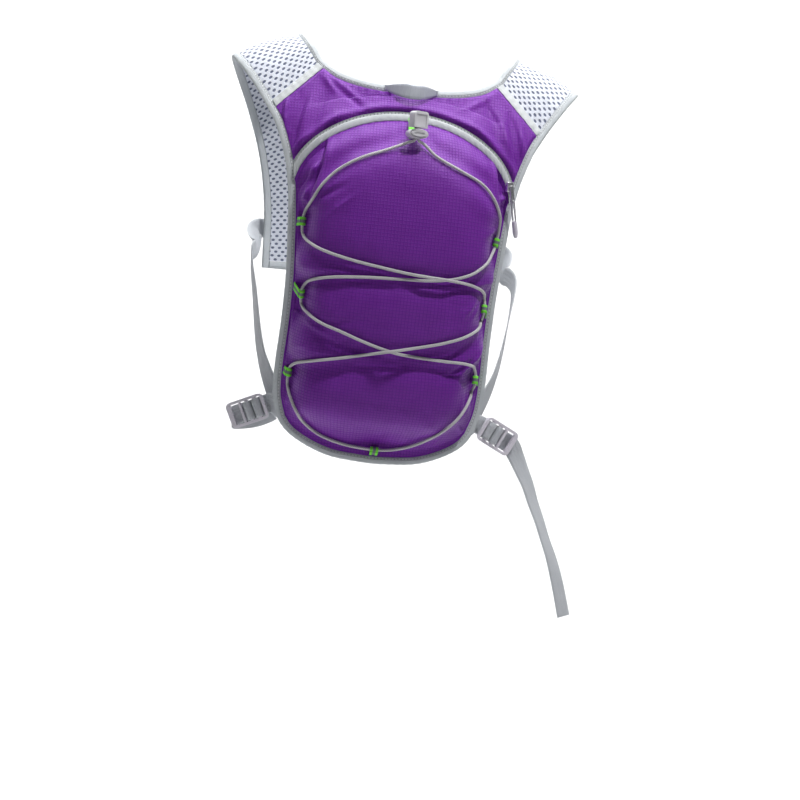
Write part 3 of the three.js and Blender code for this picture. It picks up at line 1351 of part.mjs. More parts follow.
function zipPull() {
  const station = zipUpperLine.length - 2;
  const along = zipLowerLine[station + 1].clone().sub(zipUpperLine[station]).normalize();
  const onBand = mixed(zipUpperLine[station], zipLowerLine[station], 0.5);
  const bandEnd = mixed(zipTopEnd, zipBottomEnd, 0.5);
  const place = mixed(onBand, bandEnd, 0.5);
  const reach = 3;
  const depthAt = (x, z) => overCloth(skinDepth(place.x + x, place.z + z), place.x + x, place.z + z);
  const slopeX = (depthAt(reach, 0) - depthAt(-reach, 0)) / (2 * reach);
  const slopeZ = (depthAt(0, reach) - depthAt(0, -reach)) / (2 * reach);
  const out = vec(slopeX, -1, slopeZ).normalize();
  const base = vec(place.x, depthAt(0, 0), place.z);
  const bumps = [-1, 0, 1].flatMap((i) => [-1, 0, 1].map((j) => {
    const q = vec(place.x + (i * sliderWidth) / 2.4, 0, place.z + (j * sliderLength) / 2.4);
    return q.setY(skinDepth(q.x, q.z)).sub(base).dot(out);
  })).filter((bump) => Number.isFinite(bump));
  const centre = base.clone().addScaledVector(out, Math.max(...bumps) + clearance + sliderThickness / 2);
  const across = out.clone().cross(along).normalize();
  const down = across.clone().cross(out).normalize();
  const frame = new THREE.Matrix4().makeBasis(across, out, down).setPosition(centre);
  const slider = new THREE.BoxGeometry(sliderWidth, sliderThickness, sliderLength);
  addPiece('zip_slider', slider.applyMatrix4(frame), 'metal');

  const tabLift = sliderThickness / 2 + clearance + pullTabThickness / 2;
  const pullFrom = centre.clone().addScaledVector(out, tabLift);
  const fall = vec(0.36, 0, -1);
  const hang = fall.addScaledVector(out, 0.12 - fall.dot(out)).normalize();
  const hangAcross = hang.clone().cross(out).normalize();
  const hangOut = hangAcross.clone().cross(hang).normalize();
  const shape = new THREE.Shape();
  const tabStart = -0.08 * tabLength;
  shape.moveTo(-pullTabWidth / 2, tabStart);
  shape.lineTo(pullTabWidth / 2, tabStart);
  shape.lineTo(pullTabWidth / 2, tabStart + tabLength);
  shape.lineTo(-pullTabWidth / 2, tabStart + tabLength);
  shape.closePath();
  const eye = new THREE.Path();
  const eyeHalf = pullCordRadius + 0.4;
  const eyeEnd = tabStart + tabLength - 1.6;
  eye.moveTo(-eyeHalf, eyeEnd - 2 * eyeHalf);
  eye.lineTo(-eyeHalf, eyeEnd);
  eye.lineTo(eyeHalf, eyeEnd);
  eye.lineTo(eyeHalf, eyeEnd - 2 * eyeHalf);
  eye.closePath();
  shape.holes.push(eye);
  const tab = extruded(shape, pullTabThickness, 1);
  tab.translate(0, 0, -pullTabThickness / 2);
  tab.applyMatrix4(new THREE.Matrix4().makeBasis(hangAcross, hang, hangOut).setPosition(pullFrom));
  addPiece('zip_pull_tab', tab, 'metal');

  const at = (drop, off) => pullFrom.clone().addScaledVector(hang, drop).addScaledVector(hangOut, off);
  const turnPoint = eyeEnd - eyeHalf;
  const half = pullTabThickness / 2 + pullCordRadius + 0.35;
  const end = turnPoint + pullCordDrop;
  const near = range(4).map((i) => at(end - (i * (pullCordDrop - 5)) / 3, half));
  const bend = [[1.2, 1], [0, 0.6], [-0.1, 0], [0, -0.6], [1.2, -1]]
    .map(([drop, share]) => at(turnPoint + drop, half * share));
  const far = range(4).map((i) => at(turnPoint + 5 + (i * (pullCordDrop - 5)) / 3, -half));
  addPiece('zip_pull_cord', roundCord([...near, ...bend, ...far], pullCordRadius, 8), 'webbing');

  const tipSections = [
    { down: 0, width: 0.7 },
    { down: 0.12, width: 1 },
    { down: 0.75, width: 1 },
    { down: 1, width: 0.6 },
  ].map((row) => {
    const centreOf = at(end + clearance + row.down * tipLength, 0);
    return range(8).map((k) => {
      const angle = (Math.PI * (2 * k + 1)) / 8;
      return centreOf.clone().addScaledVector(hangAcross, 2.6 * row.width * Math.cos(angle))
        .addScaledVector(hangOut, 3.1 * row.width * Math.sin(angle));
    });
  });
  addPiece('zip_pull_tip', barThrough(tipSections), 'webbing');
}

backPanel();
upperPanel();
zipTape();
pocketShell();
bindings();
haulLoop();
const top = topHardware();
const cordPoints = routedCord(top);
cordLoops(cordPoints);
sternumClasp();
zipPull();
for (const [side, mirror] of [['right', (p) => p.clone()], ['left', mirrored]]) {
  shoulderMesh(side, mirror);
  seamRibbon(side, mirror);
  frontEndBinding(side, mirror);
  sideStrap(side, mirror);
  ladderBuckle(side, mirror);
  buckleStub(side, mirror);
  adjusterStrap(side, mirror);
  sternumStrap(side, mirror);
}

export default vest;
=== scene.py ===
import math

import bmesh
import bpy
import numpy as np
from mathutils import Matrix, Vector
from mathutils.bvhtree import BVHTree


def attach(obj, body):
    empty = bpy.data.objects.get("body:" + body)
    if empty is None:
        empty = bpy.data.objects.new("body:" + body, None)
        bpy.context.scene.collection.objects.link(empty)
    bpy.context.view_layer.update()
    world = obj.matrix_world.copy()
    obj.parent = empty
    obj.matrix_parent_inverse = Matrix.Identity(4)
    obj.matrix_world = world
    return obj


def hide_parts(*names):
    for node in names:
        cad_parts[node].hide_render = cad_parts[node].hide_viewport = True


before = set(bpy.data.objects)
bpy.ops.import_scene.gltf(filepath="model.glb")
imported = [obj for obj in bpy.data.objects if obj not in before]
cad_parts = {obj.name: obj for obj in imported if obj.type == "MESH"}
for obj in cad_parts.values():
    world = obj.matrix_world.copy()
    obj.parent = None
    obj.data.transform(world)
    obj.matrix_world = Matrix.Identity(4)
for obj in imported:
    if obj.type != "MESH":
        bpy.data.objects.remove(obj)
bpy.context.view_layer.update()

MM = 0.001

# ---------------------------------------------------------------- camera
VIEW_AZIMUTH = math.radians(-6.0)
VIEW_ELEVATION = math.radians(1.0)
VIEW_ROLL = math.radians(6.0)
VIEW_DISTANCE = 2.6
AIM = Vector((0.0207, -0.075, -0.3577))


def place_camera():
    camera = bpy.data.objects.new("camera", bpy.data.cameras.new("camera"))
    bpy.context.scene.collection.objects.link(camera)
    camera.data.sensor_width = 36
    camera.data.lens = 117
    camera.data.clip_end = 30
    flat = Vector((-math.sin(VIEW_AZIMUTH), math.cos(VIEW_AZIMUTH), 0))
    look = flat * math.cos(VIEW_ELEVATION) - Vector((0, 0, math.sin(VIEW_ELEVATION)))
    right = look.cross(Vector((0, 0, 1))).normalized()
    up = right.cross(look)
    turned_right = right * math.cos(VIEW_ROLL) + up * math.sin(VIEW_ROLL)
    turned_up = up * math.cos(VIEW_ROLL) - right * math.sin(VIEW_ROLL)
    rotation = Matrix((turned_right, turned_up, -look)).transposed()
    camera.matrix_world = Matrix.Translation(AIM - look * VIEW_DISTANCE) @ rotation.to_4x4()
    bpy.context.scene.camera = camera
    return camera


place_camera()

# ---------------------------------------------------------------- sizes in millimetres, as in the solids
PACK_HEIGHT = 424
PACK_HALF = 104
NECKLINE_DROP = 48
BLADE_DEPTH = 104
WRAP_DEPTH = 28
PANEL_THICKNESS = 3
CLOTH_THICKNESS = 1.2
POCKET_PUFF = 40
POCKET_REACH = 70
ZIP_RISE = 9
ZIP_DOWN = 79
ZIP_HALF = 115
ZIP_DROP = 87
ZIP_WIDTH = 9
CREST_HALF = 106
CREST_ARM = 178
CREST_SLOPE = 0.43
CHEST_DEPTH = 108
YOKE_THICKNESS = 3.5
YOKE_BOW = 4
RIBBON_WIDTH = 7
RIBBON_THICKNESS = 1.6
BINDING_WIDTH = 8
BINDING_THICKNESS = 6
BINDING_UNDER = 0.6
WEBBING_WIDTH = 20
WEBBING_THICKNESS = 1.5
CHEST_WEBBING = 15
BUCKLE_LENGTH = 40
BUCKLE_THICKNESS = 4
CORD_RADIUS = 1.5
TAB_WIDTH = 8.4
TAB_THICKNESS = 1.2
LOCK_HEIGHT = 10
LOCK_WIDTH = 20
END_HEIGHT = 16
HAUL_WIDTH = 13
HAUL_HALF = 26
HAUL_BULGE = 20
CLEARANCE = 0.3
LAYER_GAP = 0.6
BINDING_TOP = BINDING_THICKNESS - BINDING_UNDER
CLOTH_BASE = PANEL_THICKNESS + LAYER_GAP
SEAT_DEPTH = -136.214
SOCKET_TOP = -82.0


# ---------------------------------------------------------------- curves and tables
def vec(x, y, z):
    return np.array([x, y, z], dtype=float)


def unit(a):
    a = np.asarray(a, dtype=float)
    return a / np.maximum(np.linalg.norm(a, axis=-1, keepdims=True), 1e-12)


def mirrored(points):
    return np.asarray(points) * np.array([-1.0, 1.0, 1.0])


def clamp(t):
    return np.clip(t, 0.0, 1.0)


def eased(t):
    t = clamp(t)
    return t * t * (3 - 2 * t)


def table_curve(rows):
    """Smooth function through (place, value) rows."""
    places = np.array([r[0] for r in rows], dtype=float)
    values = np.array([r[1] for r in rows], dtype=float)
    last = len(rows) - 1

    def slope(j):
        a, b = max(j - 1, 0), min(j + 1, last)
        return (values[b] - values[a]) / (places[b] - places[a])

    xs, ys = [], []
    for i in range(last):
        span = places[i + 1] - places[i]
        for t in np.linspace(0, 1, 40, endpoint=(i == last - 1)):
            square, cube = t * t, t * t * t
            y = (2 * cube - 3 * square + 1) * values[i] + (cube - 2 * square + t) * slope(i) * span
            y += (3 * square - 2 * cube) * values[i + 1] + (cube - square) * slope(i + 1) * span
            xs.append(places[i] + t * span)
            ys.append(y)
    return lambda place: np.interp(place, xs, ys)


def catmull(points, t_values):
    """Centripetal curve through points at the places t_values, one unit for each span."""
    points = np.asarray(points, dtype=float)
    count = len(points)
    first = 2 * points[0] - points[1]
    last = 2 * points[-1] - points[-2]
    padded = np.vstack([first, points, last])
    out = []
    for t in t_values:
        i = min(int(math.floor(t)), count - 2)
        w = t - i
        p0, p1, p2, p3 = padded[i], padded[i + 1], padded[i + 2], padded[i + 3]
        d0 = max(np.sum((p1 - p0) ** 2), 1e-12) ** 0.25
        d1 = max(np.sum((p2 - p1) ** 2), 1e-12) ** 0.25
        d2 = max(np.sum((p3 - p2) ** 2), 1e-12) ** 0.25
        a = ((p1 - p0) / d0 - (p2 - p0) / (d0 + d1) + (p2 - p1) / d1) * d1
        b = ((p2 - p1) / d1 - (p3 - p1) / (d1 + d2) + (p3 - p2) / d2) * d1
        c2 = -3 * p1 + 3 * p2 - 2 * a - b
        c3 = 2 * p1 - 2 * p2 + a + b
        out.append(p1 + a * w + c2 * w * w + c3 * w ** 3)
    return np.array(out)


def finer(points, cuts):
    """The same line with each span cut into equal parts along a smooth curve."""
    count = len(points)
    steps = np.arange((count - 1) * cuts + 1) / cuts
    return catmull(points, steps)


def stations_through(points, spans):
    t_values, starts = [], []
    for i, span in enumerate(spans[:len(points) - 1]):
        starts.append(len(t_values))
        t_values += [i + s / span for s in range(span)]
    starts.append(len(t_values))
    t_values.append(len(points) - 1)
    return catmull(points, t_values), starts


def tangents(points):
    points = np.asarray(points)
    ahead = np.vstack([points[1:], points[-1:]])
    behind = np.vstack([points[:1], points[:-1]])
    return unit(ahead - behind)


def along_length(points):
    steps = np.linalg.norm(np.diff(points, axis=0), axis=1)
    return np.concatenate([[0], np.cumsum(steps)])


# ---------------------------------------------------------------- the back surface
spine_at = table_curve([(0.05, 0.52), (0.11, 0.64), (0.236, 0.87), (0.425, 1.0), (0.59, 0.96), (0.755, 0.83),
                        (0.896, 0.69), (1.0, 0.61), (1.12, 0.57)])
wrap_at = table_curve([(0.08, 0), (0.236, 0.35), (0.39, 0.72), (0.57, 0.93), (1.0, 1.0)])


def back_depth(x, z):
    across = np.abs(x)
    down = -z / PACK_HEIGHT
    below_crest = np.maximum(4, -CREST_SLOPE * (across - CREST_HALF) - z)
    below_neck = CREST_SLOPE * CREST_HALF - z
    shoulder = (1 - np.exp(-below_crest / 55)) / (1 - np.exp(-below_neck / 55))
    wrap = WRAP_DEPTH * wrap_at(down) * (across / PACK_HALF) ** 2.4
    return -BLADE_DEPTH * spine_at(down) * shoulder + wrap


def back_normal(x, z):
    slope_x = (back_depth(x + 2, z) - back_depth(x - 2, z)) / 4
    slope_z = (back_depth(x, z + 2) - back_depth(x, z - 2)) / 4
    return unit(np.stack([slope_x, -np.ones_like(slope_x), slope_z], axis=-1))


def over_back(place, lift):
    place = np.asarray(place, dtype=float)
    x, z = place[..., 0], place[..., 2]
    base = np.stack([x, back_depth(x, z), z], axis=-1)
    return base + back_normal(x, z) * np.asarray(lift)[..., None]


OUTLINE = [("seam", 1.346, 0.189, 2), ("armhole", 1.25, 0.229, 1), ("armhole", 1.173, 0.276, 1),
           ("zip_top", 1.12, 0.316, 1), ("zip_bottom", 1.085, 0.3585, 1), ("side", 1.062, 0.394, 2),
           ("side", 1.035, 0.472, 3), ("side", 1.005, 0.578, 3), ("side", 1.0, 0.684, 3), ("side", 1.01, 0.802, 2),
           ("side", 0.99, 0.866, 1), ("corner", 0.928, 0.915, 1), ("bottom", 0.837, 0.943, 2),
           ("bottom", 0.625, 0.974, 2), ("bottom", 0.385, 0.993, 2), ("middle", 0, 1.0, 0)]
NECKLINE = [(0, 1.0, 2), (0.24, 0.99, 2), (0.48, 0.93, 2), (0.69, 0.79, 1), (0.846, 0.56, 0)]

outline, outline_starts = stations_through(
    [vec(r[1] * PACK_HALF, 0, -r[2] * PACK_HEIGHT) for r in OUTLINE], [r[3] for r in OUTLINE])
neckline, _ = stations_through(
    [vec(r[0] * PACK_HALF, 0, -r[1] * NECKLINE_DROP) for r in NECKLINE], [r[2] for r in NECKLINE])
station_of = {name: outline_starts[[r[0] for r in OUTLINE].index(name)] for name in ("zip_top", "zip_bottom", "corner")}
seam_neck, seam_arm = neckline[-1], outline[0]
seam_along = unit(seam_arm - seam_neck)
seam_into = vec(seam_along[2], 0, -seam_along[0])


def inward_steps(points, first, last):
    steps = []
    for i, p in enumerate(points):
        before, after = points[max(i - 1, 0)], points[min(i + 1, len(points) - 1)]
        along = unit(after - before)
        if i == 0:
            steps.append(first)
        elif i == len(points) - 1:
            steps.append(last)
        else:
            segment = unit(after - p)
            steps.append(vec(along[2], 0, -along[0]) / max(0.8, float(segment @ along)))
    return np.array(steps)


outline_steps = inward_steps(outline, -seam_along, vec(0, 0, 1))
neckline_steps = inward_steps(neckline, vec(0, 0, -1), seam_along)
PANEL_INSET = BINDING_WIDTH + CLEARANCE
# The cloth runs a little under the bindings, as it is sewn
side_line = outline + outline_steps * (PANEL_INSET - 0.2)
neck_line = neckline + neckline_steps * (PANEL_INSET - 0.2)


def seam_cut(line, from_start, distance):
    order = line if from_start else line[::-1]
    depths = (order - seam_neck) @ seam_into
    i = int(np.argmax(depths > distance))
    t = (distance - depths[i - 1]) / (depths[i] - depths[i - 1])
    return order[i - 1] * (1 - t) + order[i] * t


def coons(top, bottom, left, right, across, down):
    def at(line, t):
        index = np.asarray(t) * (len(line) - 1)
        return np.stack([np.interp(index, np.arange(len(line)), line[:, k]) for k in range(3)], axis=-1)
    u = np.asarray(across)[None, :, None]
    v = np.asarray(down)[:, None, None]
    ruled = at(top, across)[None] * (1 - v) + at(bottom, across)[None] * v
    ruled = ruled + at(left, down)[:, None] * (1 - u) + at(right, down)[:, None] * u
    corners = (top[0] * (1 - u) + top[-1] * u) * (1 - v) + (bottom[0] * (1 - u) + bottom[-1] * u) * v
    return ruled - corners


def both_sides(half):
    return np.vstack([mirrored(half[1:])[::-1], half])


def panel_side(distance, last_station):
    neck_end = seam_cut(neck_line, False, distance)
    arm_end = seam_cut(side_line, True, distance)
    seam = [neck_end * (1 - i / 3) + arm_end * i / 3 for i in range(3)]
    return np.vstack([seam, [arm_end], side_line[1:last_station + 1]])


def panel_top(distance):
    return both_sides(np.vstack([neck_line[:-1], [seam_cut(neck_line, False, distance)]]))


# ---------------------------------------------------------------- folds, gathers and the cord's groove
# across, down, length, width, height, turn
FOLDS = [(-0.86, 0.215, 62, 7, -4.0, 78), (-0.72, 0.235, 56, 6, 2.6, 70), (-0.98, 0.262, 44, 6, 2.4, 82),
         (-0.52, 0.2, 40, 7, -2.2, 62), (0.84, 0.225, 52, 7, -3.0, -76), (0.62, 0.205, 44, 7, 2.0, -64),
         (-0.62, 0.345, 46, 8, -3.0, 52), (0.72, 0.36, 46, 8, -3.0, -50), (0.78, 0.66, 62, 8, 3.0, 78),
         (0.66, 0.8, 54, 8, -3.0, 74), (-0.8, 0.7, 44, 8, -3.0, -72), (-0.7, 0.88, 40, 8, 2.6, 40),
         (0.5, 0.9, 40, 8, 2.6, -36)]
# Finer creases that only this dressed form has
UPPER_CREASES = [(-1.1, 0.175, 30, 4.4, -6.0, 84), (-1.165, 0.19, 26, 3.2, 3.4, 76), (-1.215, 0.205, 26, 3.6, -4.6, 74),
                 (-1.06, 0.22, 52, 6.0, -4.0, 68), (-0.97, 0.2, 44, 4.0, 2.6, 76), (-1.12, 0.25, 30, 3.4, 2.6, 72),
                 (-1.08, 0.275, 32, 3.4, -3.4, 66), (-0.8, 0.205, 30, 3.4, 1.6, 66), (-0.62, 0.135, 40, 3.2, 1.6, -36),
                 (-0.55, 0.165, 34, 3.0, -1.5, -40), (-0.78, 0.125, 26, 3.4, 2.2, -52), (0.62, 0.14, 40, 3.2, 1.4, 34),
                 (1.02, 0.2, 34, 4.0, -4.2, -76), (1.1, 0.215, 28, 3.4, 3.0, -78), (1.08, 0.255, 34, 3.4, -3.2, -66),
                 (0.93, 0.215, 40, 4.0, 2.4, -70), (0.8, 0.165, 36, 3.6, -1.8, -58), (-0.2, 0.135, 34, 3.4, 0.8, 6)]
CREASES = [(-0.81, 0.337, 15, 3.2, 4.2, 66), (-0.9, 0.36, 18, 3.0, -3.0, 58), (-0.86, 0.395, 16, 3.0, 3.0, 70),
           (0.92, 0.352, 14, 3.2, 4.2, 28), (0.95, 0.4, 18, 3.0, -2.6, 60), (0.9, 0.425, 14, 2.8, 2.4, 40),
           (-0.64, 0.395, 26, 3.0, -2.2, 30), (-0.5, 0.415, 24, 2.6, 1.2, 44), (-0.83, 0.41, 20, 2.6, 2.0, -30),
           (0.8, 0.43, 22, 2.8, 2.2, 28), (0.74, 0.585, 34, 3, 1.8, 60), (0.82, 0.63, 30, 2.6, -1.8, 66),
           (0.62, 0.6, 26, 2.4, 1.0, 48), (0.72, 0.72, 36, 2.6, 2.2, 52), (0.6, 0.735, 30, 2.4, -1.6, 40),
           (0.8, 0.78, 44, 2.6, 2.0, 84), (0.7, 0.83, 34, 2.6, -1.5, 86), (-0.7, 0.6, 34, 3, 1.6, 16),
           (-0.6, 0.68, 30, 2.6, 1.4, -22), (-0.45, 0.66, 34, 2.8, -1.0, 12), (-0.82, 0.655, 26, 2.4, -1.6, -8),
           (-0.72, 0.725, 30, 2.6, 1.2, 24), (-0.3, 0.575, 40, 2.8, 0.8, 6), (0.1, 0.57, 44, 2.8, 0.7, -6),
           (0.35, 0.565, 34, 2.4, 0.9, 14), (-0.84, 0.86, 24, 2.6, 1.6, 62), (0.8, 0.9, 20, 2.4, 1.8, -40),
           (0.05, 0.71, 44, 3, 0.6, 4), (-0.2, 0.72, 40, 2.6, -0.6, -10), (-0.5, 0.95, 20, 2.2, 0.9, 70),
           (0.3, 0.955, 20, 2.2, 0.9, -70), (-0.1, 0.96, 16, 2.0, 0.8, 86), (0.55, 0.935, 20, 2.0, 0.9, 60)]
# x, z, over, loop
ROUTE = [(-4, -106, 4, ""), (-22, -114.6, 0, ""), (-50, -126.9, 0, ""), (-70, -140.7, 0, ""), (-83, -156, 0, ""),
         (-90, -170, 0, ""), (-94.6, -181, 0, ""), (-96, -187.5, 0, "upper_left"), (-96.2, -196.5, 0, "upper_left"),
         (-95, -203.5, 0, ""), (-89.5, -212, 0, ""), (-76.5, -219, 0, ""), (-50.5, -225.5, 0, ""),
         (-19, -230.3, 0, ""), (12, -234, 1.5, ""), (28, -235, 4.4, ""), (49, -236, 4.4, ""), (64, -237, 3, ""),
         (75, -238.6, 0, ""), (86, -242, 0, ""), (91.4, -248.5, 0, ""), (92.4, -254.5, 0, "middle_right"),
         (92.2, -263.5, 0, "middle_right"), (91, -271, 0, ""), (85.5, -280.5, 0, ""), (70.5, -290, 0, ""),
         (50.5, -297.6, 0, ""), (26, -304.3, 0, ""), (12, -307.8, 3.6, ""), (-0.5, -310.8, 4.4, ""),
         (-14, -314, 3, ""), (-32, -318.4, 0, ""), (-56, -323.9, 0, ""), (-78, -328.6, 0, ""), (-89, -332.4, 0, ""),
         (-92.6, -337, 0, "lower_left"), (-93.4, -346, 0, "lower_left"), (-92.6, -354, 0, ""), (-89, -367, 0, ""),
         (-82, -380, 0, ""), (-72, -390.5, 0, ""), (-57, -400, 0, ""), (-37.5, -406.2, 0, ""), (-19, -409, 0, ""),
         (-4.5, -409.8, 0, "bottom"), (4.5, -409.8, 0, "bottom"), (17, -408.4, 0, ""), (34, -403.4, 0, ""),
         (52, -393.7, 0, ""), (67.5, -381, 0, ""), (79.5, -367, 0, ""), (88, -351, 0, ""), (91.8, -341, 0, ""),
         (92.8, -334.5, 0, "lower_right"), (92.7, -325.5, 0, "lower_right"), (90.6, -319.5, 0, ""),
         (84, -316.2, 0, ""), (74, -315, 0, ""), (55, -314.8, 0, ""), (31, -314, 0, ""), (9, -312.4, 0, ""),
         (-7, -309.4, 0, ""), (-27, -304, 0, ""), (-51, -296.1, 0, ""), (-70, -289.8, 0, ""), (-83, -281.4, 0, ""),
         (-88.6, -273, 0, ""), (-90, -267.5, 0, "middle_left"), (-90, -258.5, 0, "middle_left"),
         (-87.4, -252.6, 0, ""), (-80.5, -248, 0, ""), (-64, -244.4, 0, ""), (-33.5, -241.4, 0, ""),
         (-2, -239.8, 0, ""), (28, -238.4, 0, ""), (49, -235.4, 0, ""), (60, -232.4, 0, ""), (73, -226.6, 0, ""),
         (85.5, -216, 0, ""), (93, -204.6, 0, ""), (96.6, -196.4, 0, "upper_right"), (98, -187.6, 0, "upper_right"),
         (98.4, -178, 0, ""), (96.6, -166.5, 0, ""), (87, -150.3, 0, ""), (74, -138.5, 0, ""), (50, -128, 0, ""),
         (25, -116.6, 0, ""), (12, -106, 4, "")]
LOOP_NAMES = ["upper_left", "middle_right", "lower_left", "bottom", "lower_right", "middle_left", "upper_right"]


def fold_lift(place, folds):
    total = np.zeros(place.shape[:-1])
    for across, down, length, width, height, turn in folds:
        turn = math.radians(turn)
        dx = place[..., 0] - across * PACK_HALF
        dz = place[..., 2] + down * PACK_HEIGHT
        along = dx * math.cos(turn) + dz * math.sin(turn)
        aside = -dx * math.sin(turn) + dz * math.cos(turn)
        total += height * np.exp(-((along / length) ** 2) * 4) * np.exp(-((aside / width) ** 2))
    return total


def route_distance(place):
    nearest = np.full(place.shape[:-1], 1e9)
    flat = place[..., [0, 2]]
    for (x0, z0, _, _), (x1, z1, _, _) in zip(ROUTE, ROUTE[1:]):
        a, b = np.array([x0, z0]), np.array([x1, z1])
        t = clamp(((flat - a) @ (b - a)) / ((b - a) @ (b - a)))
        nearest = np.minimum(nearest, np.linalg.norm(a + t[..., None] * (b - a) - flat, axis=-1))
    return nearest


def looped(place):
    held = np.zeros(place.shape[:-1])
    for x, z, _, loop in ROUTE:
        if loop:
            distance = np.hypot(place[..., 0] - x, place[..., 2] - z)
            held = np.maximum(held, np.exp(-((distance / 17) ** 2)))
    return 1 - 0.8 * held


def swell(distance, reach):
    return 1 - (1 - clamp(distance / reach)) ** 2.2


def ripple(a, b, seed):
    """Smooth unseeded-looking waves that are the same each time."""
    rng = np.random.default_rng(seed)
    total = np.zeros_like(a)
    for _ in range(9):
        direction = rng.uniform(0, 2 * math.pi)
        pitch = rng.uniform(18, 46)
        phase = rng.uniform(0, 2 * math.pi)
        total += np.sin((a * math.cos(direction) + b * math.sin(direction)) * 2 * math.pi / pitch + phase)
    return total / 9


zip_top_end = side_line[station_of["zip_top"]]
zip_bottom_end = side_line[station_of["zip_bottom"]]


def zip_line(inset, end_place):
    a, b = ZIP_HALF - inset, ZIP_DROP - inset
    end_angle = math.asin(min(1, end_place[0] / a))
    columns = 2 * (len(outline) - 1 - station_of["corner"])
    sag = end_place[2] + ZIP_DOWN + ZIP_DROP - b * math.cos(end_angle)
    share = np.linspace(-1, 1, columns + 1)
    angle = share * end_angle
    z = -ZIP_DOWN - ZIP_DROP + b * np.cos(angle) + sag * share ** 4
    return np.stack([a * np.sin(angle), np.zeros_like(angle), z], axis=-1)


zip_upper = finer(zip_line(0, zip_top_end), 12)
zip_lower = finer(zip_line(ZIP_WIDTH, zip_bottom_end), 12)


def zip_share(place):
    return swell(zip_top_end[0] - np.abs(place[..., 0]), POCKET_REACH / 2)


# ---------------------------------------------------------------- materials
class Paint:
    """A material built from nodes; each step returns a socket."""

    def __init__(self, name, **sockets):
        self.material = bpy.data.materials.new(name)
        self.material.use_nodes = True
        self.tree = self.material.node_tree
        self.shader = self.tree.nodes["Principled BSDF"]
        for key, value in sockets.items():
            self.shader.inputs[key.replace("_", " ")].default_value = value

    def node(self, kind, inputs=(), out=0, **settings):
        node = self.tree.nodes.new("ShaderNode" + kind)
        for key, value in settings.items():
            setattr(node, key, value)
        for key, value in dict(inputs).items():
            if isinstance(value, bpy.types.NodeSocket):
                self.tree.links.new(value, node.inputs[key])
            else:
                node.inputs[key].default_value = value
        return node.outputs[out]

    def math(self, operation, a, b=0.0, c=0.0):
        return self.node("Math", {0: a, 1: b, 2: c}, operation=operation)

    def uv(self):
        coords = self.node("UVMap", uv_map="uv")
        split = self.tree.nodes.new("ShaderNodeSeparateXYZ")
        self.tree.links.new(coords, split.inputs[0])
        return split.outputs[0], split.outputs[1]

    def place(self):
        return self.node("TexCoord", out=3)

    def noise(self, scale, detail=3.0, where=None, roughness=0.5):
        inputs = {"Scale": scale, "Detail": detail, "Roughness": roughness, "Vector": where or self.place()}
        return self.node("TexNoise", inputs)

    def wave(self, value, pitch, shift=0.0):
        """0 to 1 and back over each pitch."""
        turned = self.math("MULTIPLY_ADD", value, 2 * math.pi / pitch, shift)
        return self.math("MULTIPLY_ADD", self.math("SINE", turned), 0.5, 0.5)

    def step(self, value, low, high):
        return self.node("MapRange", {"Value": value, "From Min": low, "From Max": high},
                         interpolation_type="SMOOTHSTEP")

    def mix(self, factor, a, b):
        node = self.tree.nodes.new("ShaderNodeMix")
        node.data_type = "RGBA"
        sockets = [s for s in node.inputs if s.type == "RGBA"]
        for socket, value in zip(sockets, (a, b)):
            if isinstance(value, bpy.types.NodeSocket):
                self.tree.links.new(value, socket)
            else:
                socket.default_value = (*value, 1)
        self.tree.links.new(factor, node.inputs[0])
        return [s for s in node.outputs if s.type == "RGBA"][0]

    def bump(self, height, distance, strength=1.0):
        normal = self.node("Bump", {"Height": height, "Distance": distance, "Strength": strength})
        self.tree.links.new(normal, self.shader.inputs["Normal"])

    def to(self, key, socket):
        self.tree.links.new(socket, self.shader.inputs[key])


def ripstop_paint():
    paint = Paint("ripstop", Specular_IOR_Level=0.28, Specular_Tint=(0.85, 0.6, 1.0, 1), Sheen_Weight=0.02,
                  Sheen_Roughness=0.35, Sheen_Tint=(0.75, 0.5, 1.0, 1))
    u, v = paint.uv()
    grid_u = paint.step(paint.wave(u, 0.0029), 0.8, 0.98)
    grid_v = paint.step(paint.wave(v, 0.0029), 0.8, 0.98)
    grid = paint.math("MAXIMUM", grid_u, grid_v)
    cloud = paint.noise(26, 3)
    base = paint.mix(cloud, (0.15, 0.018, 0.29), (0.21, 0.034, 0.39))
    lined = paint.mix(paint.math("MULTIPLY", grid, 0.55), base, (0.09, 0.01, 0.24))
    paint.to("Base Color", lined)
    paint.to("Roughness", paint.math("MULTIPLY_ADD", grid, 0.16, 0.36))
    weave = paint.math("MULTIPLY", paint.wave(u, 0.00045), paint.wave(v, 0.00045))
    crinkle = paint.noise(150, 4)
    height = paint.math("ADD", paint.math("MULTIPLY", grid, 0.55), paint.math("MULTIPLY", weave, 0.12))
    paint.bump(paint.math("MULTIPLY_ADD", crinkle, 0.9, height), 0.00055, 0.9)
    return paint.material


